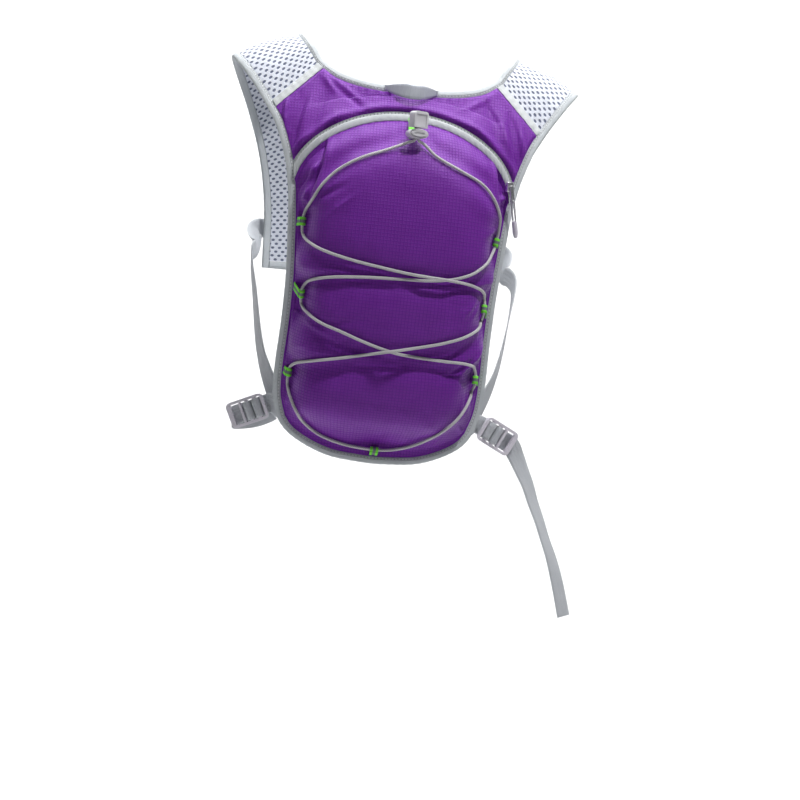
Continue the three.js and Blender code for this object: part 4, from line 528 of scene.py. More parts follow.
def air_mesh_paint():
    paint = Paint("air_mesh", Roughness=0.85, Sheen_Weight=0.3)
    u, v = paint.uv()
    row = paint.math("FLOOR", paint.math("DIVIDE", v, 0.0043))
    odd = paint.math("MULTIPLY", paint.math("FRACT", paint.math("MULTIPLY", row, 0.5)), 1.0)
    cell_u = paint.math("SUBTRACT", paint.math("FRACT", paint.math("ADD", paint.math("DIVIDE", u, 0.0078), odd)), 0.5)
    cell_v = paint.math("SUBTRACT", paint.math("FRACT", paint.math("DIVIDE", v, 0.0043)), 0.5)
    far_u = paint.math("POWER", paint.math("DIVIDE", cell_u, 0.27), 2.0)
    far_v = paint.math("POWER", paint.math("DIVIDE", cell_v, 0.33), 2.0)
    far = paint.math("SQRT", paint.math("ADD", far_u, far_v))
    solid = paint.step(far, 0.72, 1.12)
    shade = paint.noise(40, 2)
    white = paint.mix(shade, (0.64, 0.67, 0.76), (0.78, 0.8, 0.88))
    # Painted shade: the holes are not cut, so their dark grey-blue stands in for the shaded inside of each hole
    # together with the layer under the mesh.
    paint.to("Base Color", paint.mix(solid, (0.13, 0.155, 0.24), white))
    strands = paint.math("MULTIPLY", paint.wave(u, 0.0011), paint.wave(v, 0.0009))
    paint.bump(paint.math("MULTIPLY_ADD", strands, 0.18, solid), 0.0012, 0.9)
    return paint.material


def spacer_paint():
    paint = Paint("spacer", Roughness=0.95)
    u, v = paint.uv()
    dots = paint.math("MULTIPLY", paint.wave(u, 0.0032), paint.wave(v, 0.0032))
    hole = paint.step(dots, 0.62, 0.85)
    base = paint.mix(paint.noise(30, 2), (0.33, 0.35, 0.39), (0.43, 0.45, 0.5))
    # Painted shade: the holes are darkened as well as sunk by the bump, the dark colour standing in for the shade
    # inside them.
    paint.to("Base Color", paint.mix(hole, base, (0.1, 0.105, 0.125)))
    paint.bump(hole, -0.0009, 0.8)
    return paint.material


def tape_paint(name, dark, light, rib, stitch_at=None, rough=0.72, sheen=0.15):
    """Woven tape: ribs across, a soft edge to edge change and, where given, a row of stitches."""
    paint = Paint(name, Sheen_Weight=sheen, Roughness=rough)
    u, v = paint.uv()
    ribs = paint.wave(v, rib)
    fine = paint.wave(u, rib * 1.3)
    worn = paint.noise(70, 3)
    base = paint.mix(worn, dark, light)
    base = paint.mix(paint.math("MULTIPLY", ribs, 0.28), base, tuple(c * 0.62 for c in dark))
    height = paint.math("MULTIPLY_ADD", ribs, 0.5, paint.math("MULTIPLY", fine, 0.2))
    height = paint.math("MULTIPLY_ADD", paint.noise(420, 2), 0.35, height)
    if stitch_at is not None:
        near = paint.math("ABSOLUTE", paint.math("SUBTRACT", u, stitch_at))
        line = paint.math("SUBTRACT", 1.0, paint.step(near, 0.00035, 0.0008))
        dash = paint.step(paint.wave(v, 0.0034), 0.16, 0.4)
        groove = paint.math("SUBTRACT", 1.0, paint.step(near, 0.0006, 0.0016))
        thread = paint.math("MULTIPLY", line, dash)
        # Painted shade: the groove along the stitches is darkened here as well as sunk by the bump below; the lighter
        # dashes are the thread's own colour.
        base = paint.mix(paint.math("MULTIPLY", groove, 0.55), base, tuple(c * 0.5 for c in dark))
        base = paint.mix(thread, base, (0.62, 0.64, 0.66))
        height = paint.math("MULTIPLY_ADD", groove, -1.5, height)
        height = paint.math("MULTIPLY_ADD", thread, 1.3, height)
    paint.to("Base Color", base)
    paint.bump(height, 0.00045, 0.8)
    return paint.material


def webbing_paint():
    paint = Paint("webbing", Roughness=0.78, Sheen_Weight=0.2)
    u, v = paint.uv()
    turn = paint.wave(u, 0.0042)
    slant = paint.math("MULTIPLY_ADD", turn, 0.0016, v)
    ribs = paint.wave(slant, 0.0013)
    edge = paint.step(paint.math("ABSOLUTE", u), 0.0078, 0.0096)
    base = paint.mix(paint.noise(60, 3), (0.53, 0.56, 0.6), (0.64, 0.66, 0.69))
    base = paint.mix(paint.math("MULTIPLY", ribs, 0.3), base, (0.34, 0.36, 0.4))
    base = paint.mix(paint.math("MULTIPLY", edge, 0.4), base, (0.7, 0.72, 0.74))
    paint.to("Base Color", base)
    paint.bump(paint.math("MULTIPLY_ADD", turn, 0.5, ribs), 0.0005, 0.8)
    return paint.material


def satin_paint():
    paint = Paint("satin", Metallic=0.35, Specular_IOR_Level=0.7)
    u, v = paint.uv()
    streak = paint.noise(1.0, 3, paint.node("CombineXYZ", {0: paint.math("MULTIPLY", v, 900.0), 1: paint.math("MULTIPLY", u, 60.0)}))
    threads = paint.wave(v, 0.0006)
    paint.to("Base Color", paint.mix(streak, (0.42, 0.44, 0.5), (0.66, 0.68, 0.74)))
    paint.to("Roughness", paint.math("MULTIPLY_ADD", streak, 0.2, 0.24))
    paint.bump(paint.math("MULTIPLY_ADD", streak, 0.6, paint.math("MULTIPLY", threads, 0.4)), 0.00025, 0.7)
    return paint.material


def ribbon_paint(name, plain):
    """Neon ribbon with a grey stripe along its middle, or neon all over."""
    paint = Paint(name, Roughness=0.62)
    u, v = paint.uv()
    ribs = paint.wave(v, 0.0007)
    base = paint.mix(ribs, (0.16, 0.72, 0.035), (0.24, 0.9, 0.07))
    if not plain:
        stripe = paint.math("SUBTRACT", 1.0, paint.step(paint.math("ABSOLUTE", u), 0.0013, 0.0018))
        base = paint.mix(stripe, base, (0.17, 0.19, 0.2))
    paint.to("Base Color", base)
    paint.bump(ribs, 0.0002, 0.7)
    return paint.material


def cord_paint(name, dark, light, turns):
    """Braided sheath: two sets of strands that cross as they wind round."""
    paint = Paint(name, Roughness=0.62, Sheen_Weight=0.25)
    u, v = paint.uv()
    wound = paint.math("MULTIPLY", u, 2 * math.pi)
    run = paint.math("MULTIPLY", v, turns)
    one = paint.math("SINE", paint.math("MULTIPLY_ADD", wound, 4.0, run))
    two = paint.math("SINE", paint.math("MULTIPLY_ADD", wound, -4.0, run))
    braid = paint.math("MULTIPLY_ADD", paint.math("MAXIMUM", one, two), 0.5, 0.5)
    paint.to("Base Color", paint.mix(braid, dark, light))
    paint.bump(braid, 0.00035, 0.9)
    return paint.material


def plastic_paint(name, dark, light, rough, coat):
    paint = Paint(name, Coat_Weight=coat, Coat_Roughness=0.2, Specular_IOR_Level=0.5)
    paint.to("Base Color", paint.mix(paint.noise(90, 2), dark, light))
    grain = paint.noise(900, 2)
    paint.to("Roughness", paint.math("MULTIPLY_ADD", grain, 0.12, rough))
    paint.bump(grain, 0.00006, 0.6)
    return paint.material


def metal_paint():
    paint = Paint("zip_metal", Metallic=1.0)
    worn = paint.noise(600, 3)
    paint.to("Base Color", paint.mix(worn, (0.72, 0.72, 0.74), (0.88, 0.88, 0.9)))
    paint.to("Roughness", paint.math("MULTIPLY_ADD", worn, 0.2, 0.2))
    paint.bump(worn, 0.00008, 0.5)
    return paint.material


LOOKS = {
    "ripstop": ripstop_paint(),
    "air_mesh": air_mesh_paint(),
    "spacer": spacer_paint(),
    "binding": tape_paint("binding", (0.5, 0.535, 0.56), (0.65, 0.685, 0.71), 0.0009, 0.0064),
    "zip_band": tape_paint("zip_band", (0.52, 0.55, 0.57), (0.67, 0.7, 0.715), 0.0009, 0.0015),
    "seam_ribbon": tape_paint("seam_ribbon", (0.55, 0.58, 0.59), (0.68, 0.71, 0.72), 0.0008),
    "webbing": webbing_paint(),
    "satin": satin_paint(),
    "neon_ribbon": ribbon_paint("neon_ribbon", False),
    "neon": ribbon_paint("neon", True),
    "cord": cord_paint("cord", (0.26, 0.25, 0.26), (0.62, 0.61, 0.62), 3600.0),
    "pull_cord": cord_paint("pull_cord", (0.45, 0.46, 0.47), (0.72, 0.73, 0.74), 6000.0),
    "lock": plastic_paint("lock", (0.6, 0.59, 0.62), (0.68, 0.67, 0.7), 0.34, 0.25),
    "buckle": plastic_paint("buckle", (0.7, 0.66, 0.74), (0.78, 0.75, 0.82), 0.22, 0.5),
    "zip_metal": metal_paint(),
}


# ---------------------------------------------------------------- mesh making
def make_piece(name, vertices, faces, uvs, look, replaces, body="vest", sharp=50):
    mesh = bpy.data.meshes.new(name)
    mesh.from_pydata((np.asarray(vertices) * MM).tolist(), [], [tuple(f) for f in faces])
    layer = mesh.uv_layers.new(name="uv")
    index = np.empty(len(mesh.loops), dtype=np.int32)
    mesh.loops.foreach_get("vertex_index", index)
    layer.data.foreach_set("uv", (np.asarray(uvs) * MM)[index].astype(np.float32).ravel())
    mesh.update()
    mesh.shade_smooth()
    mesh.set_sharp_from_angle(angle=math.radians(sharp))
    mesh.materials.append(LOOKS[look])
    obj = bpy.data.objects.new(name, mesh)
    bpy.context.scene.collection.objects.link(obj)
    bm = bmesh.new()
    bm.from_mesh(mesh)
    if bm.calc_volume(signed=True) < 0:
        bmesh.ops.reverse_faces(bm, faces=bm.faces)
        bm.to_mesh(mesh)
    bm.free()
    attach(obj, body)
    if replaces:
        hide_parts(*replaces)
    return obj


def wall(name, outer, inner, uv, look, replaces, body="vest"):
    """Closed sheet between two grids of points."""
    rows, columns = outer.shape[:2]
    shift = rows * columns
    vertices = np.vstack([outer.reshape(-1, 3), inner.reshape(-1, 3)])
    uvs = np.vstack([uv.reshape(-1, 2), uv.reshape(-1, 2)])
    r, c = np.meshgrid(np.arange(rows - 1), np.arange(columns - 1), indexing="ij")
    a = (r * columns + c).ravel()
    quads = np.stack([a, a + 1, a + columns + 1, a + columns], axis=1)
    back = quads[:, ::-1] + shift
    border = [(0, k) for k in range(columns)] + [(k, columns - 1) for k in range(1, rows)]
    border += [(rows - 1, k) for k in range(columns - 2, -1, -1)] + [(k, 0) for k in range(rows - 2, 0, -1)]
    ring = np.array([i * columns + k for i, k in border])
    ahead = np.roll(ring, -1)
    rim = np.stack([ahead, ring, ring + shift, ahead + shift], axis=1)
    return make_piece(name, vertices, np.vstack([quads, back, rim]), uvs, look, replaces, body)


def bar(name, sections, uvs, look, replaces, body="vest", sharp=60):
    """Closed bar through rings of points."""
    count, sides = sections.shape[:2]
    k = np.arange(sides)
    faces = []
    for s in range(count - 1):
        a, b = s * sides + k, s * sides + (k + 1) % sides
        faces.append(np.stack([a, b, b + sides, a + sides], axis=1))
    faces = [tuple(f) for f in np.vstack(faces)]
    faces.append(tuple(range(sides - 1, -1, -1)))
    faces.append(tuple((count - 1) * sides + i for i in range(sides)))
    return make_piece(name, sections.reshape(-1, 3), faces, uvs.reshape(-1, 2), look, replaces, body, sharp)


def tube(name, points, radius, sides, look, replaces):
    points = np.asarray(points)
    along = tangents(points)
    side = np.cross([0.0, 0, 1], along[0])
    if np.linalg.norm(side) < 0.2:
        side = np.cross([1.0, 0, 0], along[0])
    angles = 2 * math.pi * np.arange(sides) / sides
    rings = []
    for p, direction in zip(points, along):
        side = unit(side - direction * (side @ direction))
        up = np.cross(direction, side)
        rings.append(p + radius * (np.cos(angles)[:, None] * side + np.sin(angles)[:, None] * up))
    length = along_length(points)
    uvs = np.stack([np.broadcast_to(np.arange(sides) / sides / MM, (len(points), sides)),
                    np.broadcast_to(length[:, None], (len(points), sides))], axis=-1)
    return bar(name, np.array(rings), uvs, look, replaces)


def strap(name, points, across, width, thickness, look, replaces, edge=0.6):
    """Flat strap with rounded edges."""
    points, across = np.asarray(points), np.asarray(across)
    along = tangents(points)
    across = unit(across - along * np.sum(across * along, axis=1, keepdims=True))
    normal = np.cross(along, across)
    e = edge / np.mean(width)
    width = np.broadcast_to(width, len(points))[:, None]
    ring = np.array([(-0.5, 0), (-0.5 + e, -1), (-0.25, -1), (0, -1), (0.25, -1), (0.5 - e, -1), (0.5, 0),
                     (0.5 - e, 1), (0.25, 1), (0, 1), (-0.25, 1), (-0.5 + e, 1)])
    sections = points[:, None] + across[:, None] * (ring[:, 0] * width)[..., None]
    sections = sections + normal[:, None] * (ring[:, 1] * thickness / 2)[None, :, None]
    length = along_length(points)
    uvs = np.stack([np.broadcast_to(ring[:, 0] * width, sections.shape[:2]),
                    np.broadcast_to(length[:, None], sections.shape[:2])], axis=-1)
    return bar(name, sections, uvs, look, replaces, sharp=70)


def chaikin(ring):
    ahead = np.roll(ring, -1, axis=-2)
    cut = np.stack([ring * 0.75 + ahead * 0.25, ring * 0.25 + ahead * 0.75], axis=-2)
    return cut.reshape(*ring.shape[:-2], -1, ring.shape[-1])


# ---------------------------------------------------------------- panels
def lifted(places, lift):
    return over_back(places, lift)


def even(n):
    return np.linspace(0, 1, n + 1)


def flat_uv(places):
    return places[..., [0, 2]].copy()


def back_panel():
    cuts = 4
    side = finer(panel_side(CLEARANCE, station_of["corner"]), cuts)
    bottom = finer(both_sides(side_line[station_of["corner"]:][::-1]), cuts)
    top = finer(panel_top(CLEARANCE), cuts)
    places = coons(top, bottom, mirrored(side), side, even(80), even(140))
    ribs = 0.25 * np.cos(places[..., 0] * 2 * math.pi / 26)
    outer = lifted(places, PANEL_THICKNESS + 0 * ribs)
    inner = lifted(places, 0.25 - np.abs(ribs))
    panel = wall("back_pad", outer, inner, flat_uv(places), "spacer", ["back_panel"])


def upper_panel():
    distance = RIBBON_WIDTH + 2 * CLEARANCE
    side = finer(panel_side(distance, station_of["zip_top"]), 5)
    top = finer(panel_top(distance), 5)
    columns, rows = 220, 90
    places = coons(top, zip_upper, mirrored(side), side, even(columns), even(rows))
    r = even(rows)[:, None]
    c = even(columns)[None, :]
    fade = eased(np.minimum(np.minimum(c, 1 - c) * 60, r * 34))
    inner_fade = eased(np.minimum(fade, (1 - r) * 14))
    rise = ZIP_RISE * zip_share(places) * r ** 3
    dress = 1.5 + 0.8 * fold_lift(places, FOLDS) + fold_lift(places, UPPER_CREASES)
    dress = dress + 0.5 * ripple(places[..., 0], places[..., 2], 3)
    from_band = np.linalg.norm(places - places[-1:], axis=-1)
    trench = -3.4 * np.exp(-((from_band / 2.6) ** 2)) + 1.5 * np.exp(-(((from_band - 6) / 4) ** 2))
    pucker = 0.35 * np.sin(places[..., 0] * 2 * math.pi / 8.5 + 2 * np.sin(places[..., 0] / 9)) * (1 - eased(r * 7))
    lift = np.maximum(0, rise + inner_fade * dress + inner_fade * pucker + trench * fade)
    outer = lifted(places, CLOTH_BASE + CLOTH_THICKNESS + lift)
    inner = lifted(places, CLOTH_BASE + lift)
    panel = wall("upper_cloth", outer, inner, flat_uv(places), "ripstop", ["upper_panel"])
    return outer


def zip_band():
    cuts = 12
    upper = zip_upper * (1 - CLEARANCE / ZIP_WIDTH) + zip_lower * (CLEARANCE / ZIP_WIDTH)
    lower = zip_upper * (CLEARANCE / ZIP_WIDTH) + zip_lower * (1 - CLEARANCE / ZIP_WIDTH)
    shares = np.linspace(0, 1, 15)[:, None, None]
    places = upper[None] * (1 - shares) + lower[None] * shares
    across = np.linspace(0, 1, 15)[:, None]
    round_form = 0.9 * np.sin(math.pi * clamp((across - 0.16) / 0.84)) ** 0.7
    run = along_length(upper)[None, :]
    groove = -1.0 * np.exp(-(((across - 0.2) / 0.06) ** 2))
    gather = 0.5 * np.sin(run * 2 * math.pi / 6.3 + 1.5 * np.sin(run / 11)) * eased((across - 0.4) * 1.7)
    level = CLOTH_BASE + ZIP_RISE * zip_share(places) + 0.3
    outer = lifted(places, level + RIBBON_THICKNESS - 0.5 + round_form + groove + gather)
    inner = lifted(places, level)
    uv = np.stack([np.broadcast_to(across * ZIP_WIDTH, places.shape[:2]),
                   np.broadcast_to(run, places.shape[:2])], axis=-1)
    wall("zip_band", outer, inner, uv, "zip_band", ["zip_tape"])
    return outer


def pocket():
    corner = station_of["corner"]
    cuts = 8
    side = finer(side_line[station_of["zip_bottom"]:corner + 1], cuts)
    bottom = finer(both_sides(side_line[corner:][::-1]), cuts)
    coarse_columns = len(both_sides(side_line[corner:])) - 1
    coarse_rows = corner - station_of["zip_bottom"]
    rim = 0.28
    across = np.concatenate([[0, 0.12 / coarse_columns, rim / coarse_columns],
                             np.linspace(rim / coarse_columns, 1 - rim / coarse_columns, 211)[1:-1],
                             [1 - rim / coarse_columns, 1 - 0.12 / coarse_columns, 1]])
    down = np.concatenate([[0, 0.12 / coarse_rows, rim / coarse_rows],
                           np.linspace(rim / coarse_rows, 1 - rim / coarse_rows, 281)[1:-1],
                           [1 - rim / coarse_rows, 1 - 0.12 / coarse_rows, 1]])
    places = coons(zip_lower, bottom, mirrored(side), side, across, down)
    c, r = across[None, :], down[:, None]
    width, height = 2 * PACK_HALF, PACK_HEIGHT - ZIP_DOWN - ZIP_WIDTH
    from_side = np.minimum(c, 1 - c) * width - rim * width / coarse_columns + 0 * r
    from_bottom = (1 - r) * height - rim * height / coarse_rows + 0 * c
    from_top = r * height + 0 * c
    full = POCKET_PUFF * swell(from_side, POCKET_REACH) * swell(from_bottom, POCKET_REACH)
    start = ZIP_RISE * zip_share(places) * np.minimum(1, np.maximum(0, from_bottom))
    gap = route_distance(places)
    groove = -3.0 * np.exp(-((gap / 9) ** 2))
    nearest_edge = np.minimum(np.minimum(from_side, from_bottom), from_top)
    dress = (fold_lift(places, FOLDS) + groove) * eased(nearest_edge / 14)
    x, z = places[..., 0], places[..., 2]
    # The zip gathers the cloth below it; two deep pleats hold the upper corners in
    ruffle = np.sin(x * 2 * math.pi / 13 + 2.2 * np.sin(x / 17)) * np.exp(-from_top / 9) * 0.8 * eased(from_top / 3)
    pleats = np.zeros_like(x)
    for edge_x, top_z, low_z, sign in ((-76.0, -114.0, -176.0, -1), (86.0, -114.0, -176.0, 1)):
        slant = edge_x + sign * 0.22 * np.maximum(0, top_z - 26 - z)
        beyond = sign * (x - slant)
        held = eased((top_z + 22 - z) / 26) * eased((z - low_z) / 30)
        pleats += -8.0 * held * eased(from_top / 6) * eased((beyond + 1.0) / 2.8) * np.exp(-np.maximum(beyond, 0) / 22)
        pleats += 1.6 * held * np.exp(-(((beyond + 3.5) / 3.4) ** 2))
    pillow = 2.2 * eased(gap / 26) * eased(nearest_edge / 30)
    fine = 1.4 * fold_lift(places, CREASES) * eased(nearest_edge / 8)
    waves = 0.8 * ripple(x, z, 11) * eased(nearest_edge / 16) * (0.35 + 0.65 * np.exp(-((gap - 10) / 16) ** 2))
    edge_puckers = 0.5 * np.sin(z * 2 * math.pi / 9.5 + 2 * np.sin(z / 13)) * np.exp(-np.maximum(from_side, 0) / 7)
    edge_puckers *= eased(from_side / 4)
    rise = start + (full * looped(places) - start) * swell(from_top, POCKET_REACH)
    rise = np.maximum(0, rise + dress + ruffle + pleats + pillow - 1.0 * eased(nearest_edge / 30) + fine + waves + edge_puckers)
    rise = np.minimum(rise, POCKET_PUFF + 3.5)
    outer = lifted(places, CLOTH_BASE + CLOTH_THICKNESS + rise)
    inner = lifted(places, np.maximum(CLOTH_BASE, CLOTH_BASE + rise - 0.2))
    shell = wall("pocket_cloth", outer, inner, flat_uv(places), "ripstop", ["pocket_shell"])
    return outer


skins = []
back_panel()
skins.append(upper_panel())
skins.append(zip_band())
skins.append(pocket())


def skin_tree():
    vertices, faces, base = [], [], 0
    for grid in skins:
        rows, columns = grid.shape[:2]
        vertices.append(grid.reshape(-1, 3))
        r, c = np.meshgrid(np.arange(rows - 1), np.arange(columns - 1), indexing="ij")
        a = (r * columns + c).ravel() + base
        faces.append(np.stack([a, a + 1, a + columns + 1, a + columns], axis=1))
        base += rows * columns
    return BVHTree.FromPolygons(np.vstack(vertices).tolist(), np.vstack(faces).tolist())


skin = skin_tree()


def skin_depth(x, z):
    hit = skin.ray_cast(Vector((x, -400, z)), Vector((0, 1, 0)))
    return hit[0].y if hit[0] else math.inf


def foot_depth(x, z, radius):
    angles = [math.pi * k / 4 for k in range(8)]
    return min([skin_depth(x, z)] + [skin_depth(x + radius * math.cos(a), z + radius * math.sin(a)) for a in angles])


# ---------------------------------------------------------------- yokes and bindings
# neck out, neck down, arm out, arm down, neck on, arm on, spans
YOKE = [(0.925, 0.026, 0.888, 0.127, -0.24, -0.3, 3), (1.0, 0, 1.0, 0.073, 0, 0, 3),
        (0.98, 0.021, 0.968, 0.1, 0.25, 0.27, 3), (0.88, 0.099, 0.87, 0.18, 0.54, 0.55, 3),
        (0.72, 0.236, 0.77, 0.288, 0.8, 0.75, 3), (0.62, 0.389, 0.708, 0.413, 0.96, 0.87, 3),
        (0.6, 0.554, 0.686, 0.557, 1.0, 0.88, 0)]
yoke_spans = [2] + [r[6] for r in YOKE]
yoke_neck, _ = stations_through(
    [over_back(seam_neck, 0.0)] + [vec(r[0] * CREST_HALF, r[4] * CHEST_DEPTH, -r[1] * PACK_HEIGHT) for r in YOKE], yoke_spans)
yoke_arm, _ = stations_through(
    [over_back(seam_arm, 0.0)] + [vec(r[2] * CREST_ARM, r[5] * CHEST_DEPTH, -r[3] * PACK_HEIGHT) for r in YOKE], yoke_spans)
yoke_last = len(yoke_neck) - 1
yoke_middle = (yoke_neck + yoke_arm) / 2
yoke_normals = unit(np.cross(yoke_arm - yoke_neck, tangents(yoke_middle)))


def yoke_at(k, from_neck, lift):
    width = np.linalg.norm(yoke_neck[k] - yoke_arm[k])
    share = from_neck / width
    chord = yoke_neck[k] * (1 - share) + yoke_arm[k] * share
    fade = 1 - eased(k / 5)
    place = seam_neck * (1 - share) + seam_arm * share
    sag = (over_back(place, 0.0) - (yoke_neck[0] * (1 - share) + yoke_arm[0] * share)) * fade
    normal = unit(yoke_normals[k] * (1 - fade) + back_normal(place[0], place[2]) * fade)
    bow = YOKE_BOW * 4 * share * (1 - share) * (1 - fade)
    return chord + sag + normal * (bow + lift)


def over_yoke(station, from_neck, lift):
    i = min(yoke_last - 1, int(math.floor(station)))
    part = station - i
    here = yoke_at(i, from_neck, lift)
    return here * (1 - part) + yoke_at(i + 1, from_neck, lift) * part if part > 0 else here


def yoke_width(station):
    i = min(yoke_last - 1, int(math.floor(station)))
    here = np.linalg.norm(yoke_neck[i] - yoke_arm[i])
    ahead = np.linalg.norm(yoke_neck[i + 1] - yoke_arm[i + 1])
    return here + (ahead - here) * (station - i)


last_span = np.linalg.norm(yoke_middle[-1] - yoke_middle[-2])
first_span = np.linalg.norm(yoke_middle[1] - yoke_middle[0])


def binding_ring(at, width, under, top):
    """Folded tape: lift at six corners, with the place across the tape as a fourth number."""
    thick = top + under
    corner = 0.16 * width
    rows = [(0, 0.3 * thick - under, -2.0), (0, 0.7 * thick - under, 0.0), (corner, top, corner), (width, top - 0.3, width),
            (width, 0.2 - under, width + 4), (corner, -under, width + 10)]
    return np.array([[*at(inset, lift), across] for inset, lift, across in rows])


def yoke_binding(edge):
    rings = []
    for k in range(yoke_last):
        station = k + 1
        width = yoke_width(station)
        rings.append(binding_ring(
            lambda inset, lift: over_yoke(station, inset if edge == "neck" else width - inset, lift),
            BINDING_WIDTH, BINDING_UNDER, YOKE_THICKNESS + 1))
    return rings


def pack_binding(points, steps):
    return [binding_ring(lambda inset, lift: over_back(p + s * inset, float(lift)), BINDING_WIDTH, BINDING_UNDER, BINDING_TOP)
            for p, s in zip(points, steps)]


def flip(rings):
    return [ring * np.array([-1.0, 1, 1, 1]) for ring in rings]


def binding_piece(name, rings, cuts, replaces):
    rings = np.array(rings)
    count, sides = rings.shape[:2]
    smooth = np.stack([finer(rings[:, k], cuts) for k in range(sides)], axis=1)
    rounded = chaikin(chaikin(smooth))
    middle = rounded[..., :3].mean(axis=1)
    run = along_length(middle)
    # Slight gathers where the tape was sewn round the curves
    wavy = 0.16 * np.sin(run * 2 * math.pi / 7.1 + 1.7 * np.sin(run / 23))
    outward = unit(rounded[..., :3] - middle[:, None])
    form = rounded[..., :3] + outward * wavy[:, None, None]
    uvs = np.stack([rounded[..., 3], np.broadcast_to(run[:, None], rounded.shape[:2])], axis=-1)
    bar(name, form, uvs, "binding", replaces)


def bindings():
    neck = pack_binding(neckline, neckline_steps) + yoke_binding("neck")
    binding_piece("neck_tape", flip(neck)[::-1][:-1] + neck, 5, ["neck_binding"])
    arm = yoke_binding("arm")[::-1] + pack_binding(outline, outline_steps)
    binding_piece("edge_tape", flip(arm)[:-1] + arm[::-1], 5, ["edge_binding"])
    for side, sign in (("right", 1), ("left", -1)):
        width = yoke_width(yoke_last)
        rings = []
        for i in range(5):
            from_neck = PANEL_INSET + (width - 2 * PANEL_INSET) * i / 4
            rings.append(binding_ring(
                lambda inset, lift: over_yoke(yoke_last - inset / last_span, from_neck, lift) * np.array([sign, 1, 1]),
                BINDING_WIDTH, BINDING_UNDER, YOKE_THICKNESS + 1))
        binding_piece("front_tape_" + side, rings, 4, ["front_end_binding_" + side])


bindings()


def shoulder(side, sign):
    start, end = CLEARANCE / first_span, yoke_last - (BINDING_WIDTH + CLEARANCE) / last_span
    stations = np.linspace(start, end, 150)
    columns = 46
    outer, inner, uv = [], [], []
    run = 0.0
    before = None
    for s in stations:
        width = yoke_width(s)
        from_neck = PANEL_INSET - 0.2 + (width - 2 * PANEL_INSET + 0.4) * even(columns)
        middle = over_yoke(s, width / 2, 0.0)
        run += 0 if before is None else np.linalg.norm(middle - before)
        before = middle
        puff = 0.6 * np.sin(math.pi * even(columns)) ** 0.5
        outer.append([over_yoke(s, f, YOKE_THICKNESS + p) for f, p in zip(from_neck, puff)])
        inner.append([over_yoke(s, f, 0.0) for f in from_neck])
        uv.append([(f - width / 2, run) for f in from_neck])
    flip_x = np.array([sign, 1, 1])
    outer, inner = np.array(outer) * flip_x, np.array(inner) * flip_x
    mesh = wall("yoke_mesh_" + side, outer, inner, np.array(uv), "air_mesh", ["shoulder_mesh_" + side])


def seam_ribbon(side, sign):
    start, end = CLEARANCE / 2, RIBBON_WIDTH + CLEARANCE / 2
    steps = 60
    lines = []
    for distance in np.linspace(start, end, 9):
        neck, arm = seam_cut(neck_line, False, distance), seam_cut(side_line, True, distance)
        lines.append([neck * (1 - t) + arm * t for t in even(steps)])
    places = np.array(lines)
    crown = 0.35 * np.sin(math.pi * np.linspace(0, 1, 9))[:, None]
    run = along_length(places[0])[None, :]
    wavy = 0.18 * np.sin(run * 2 * math.pi / 8 + 1)
    outer = lifted(places, CLOTH_BASE + RIBBON_THICKNESS + crown + wavy) * np.array([sign, 1, 1])
    inner = lifted(places, CLOTH_BASE + 0 * crown + 0 * wavy) * np.array([sign, 1, 1])
    uv = np.stack([np.broadcast_to(np.linspace(start, end, 9)[:, None], places.shape[:2]),
                   np.broadcast_to(run, places.shape[:2])], axis=-1)
    wall("shoulder_ribbon_" + side, outer, inner, uv, "seam_ribbon", ["seam_ribbon_" + side])


for side_name, side_sign in (("right", 1), ("left", -1)):
    shoulder(side_name, side_sign)
    seam_ribbon(side_name, side_sign)


# ---------------------------------------------------------------- haul loop, cord, loops
def haul_loop():
    """Satin ribbon that droops over the pack: sewn down narrow at its ends, open and wide in the middle."""
    tops, lows = [], []
    for share in np.linspace(-1, 1, 61):
        arch = math.cos(math.pi / 2 * min(1, abs(share) / 0.92)) ** 0.85
        base = over_back(vec(HAUL_HALF * share, 0, -NECKLINE_DROP - 4), BINDING_TOP + 0.7)
        tops.append(base + vec(0, -0.82 * HAUL_BULGE * arch, 2.8 + 2.4 * arch))
        lows.append(base + vec(0, -0.98 * HAUL_BULGE * arch, -2.8 - 7.6 * arch))
    tops, lows = np.array(tops), np.array(lows)
    width = np.linalg.norm(tops - lows, axis=1)
    strap("haul_ribbon", (tops + lows) / 2, tops - lows, width, 0.8, "satin", ["haul_loop"], edge=0.3)


haul_loop()

LOCK_X, LOCK_Z, LOCK_TURN = 4, -97, math.radians(10)
LOOP_HOLE = CORD_RADIUS + 0.4
LOOP_OUTER = LOOP_HOLE + TAB_THICKNESS


def nearest_on_outline(point, inset=BINDING_WIDTH / 2):
    places = outline + outline_steps * inset
    flat = vec(abs(point[0]), 0, point[2])
    best = (1e9, None)
    for a, b in zip(places, places[1:]):
        t = float(clamp((flat - a) @ (b - a) / ((b - a) @ (b - a))))
        place = a * (1 - t) + b * t
        best = min(best, (float(np.linalg.norm(place - flat)), tuple(place)))
    place = np.array(best[1])
    return mirrored(place) if point[0] < 0 else place


def tail_seat(point):
    return over_back(nearest_on_outline(point), BINDING_TOP + 4 * CLEARANCE + TAB_THICKNESS / 2)


def tail_raise(point):
    seat = tail_seat(point)
    offset = LOOP_OUTER - TAB_THICKNESS
    most = 0.0
    for t in (0.1, 0.2, 0.3, 0.4, 0.5, 0.6):
        p = point * (1 - t) + seat * t
        tail_y = p[1] - offset * (1 - t) + TAB_THICKNESS / 2 * t
        free = skin_depth(p[0], p[2]) - 2 * CLEARANCE
        if math.isfinite(free):
            most = max(most, (tail_y - free) / (1 - t))
    return most


def cord_points():
    points = []
    for x, z, over, loop in ROUTE:
        foot = LOOP_OUTER + CLEARANCE if loop else CORD_RADIUS + 0.3
        points.append(vec(x, foot_depth(x, z, foot) - foot - over, z))
    for name in LOOP_NAMES:
        members = [i for i, row in enumerate(ROUTE) if row[3] == name]
        rise = max(tail_raise(points[i]) for i in members)
        for i in members:
            points[i][1] -= rise
    return points


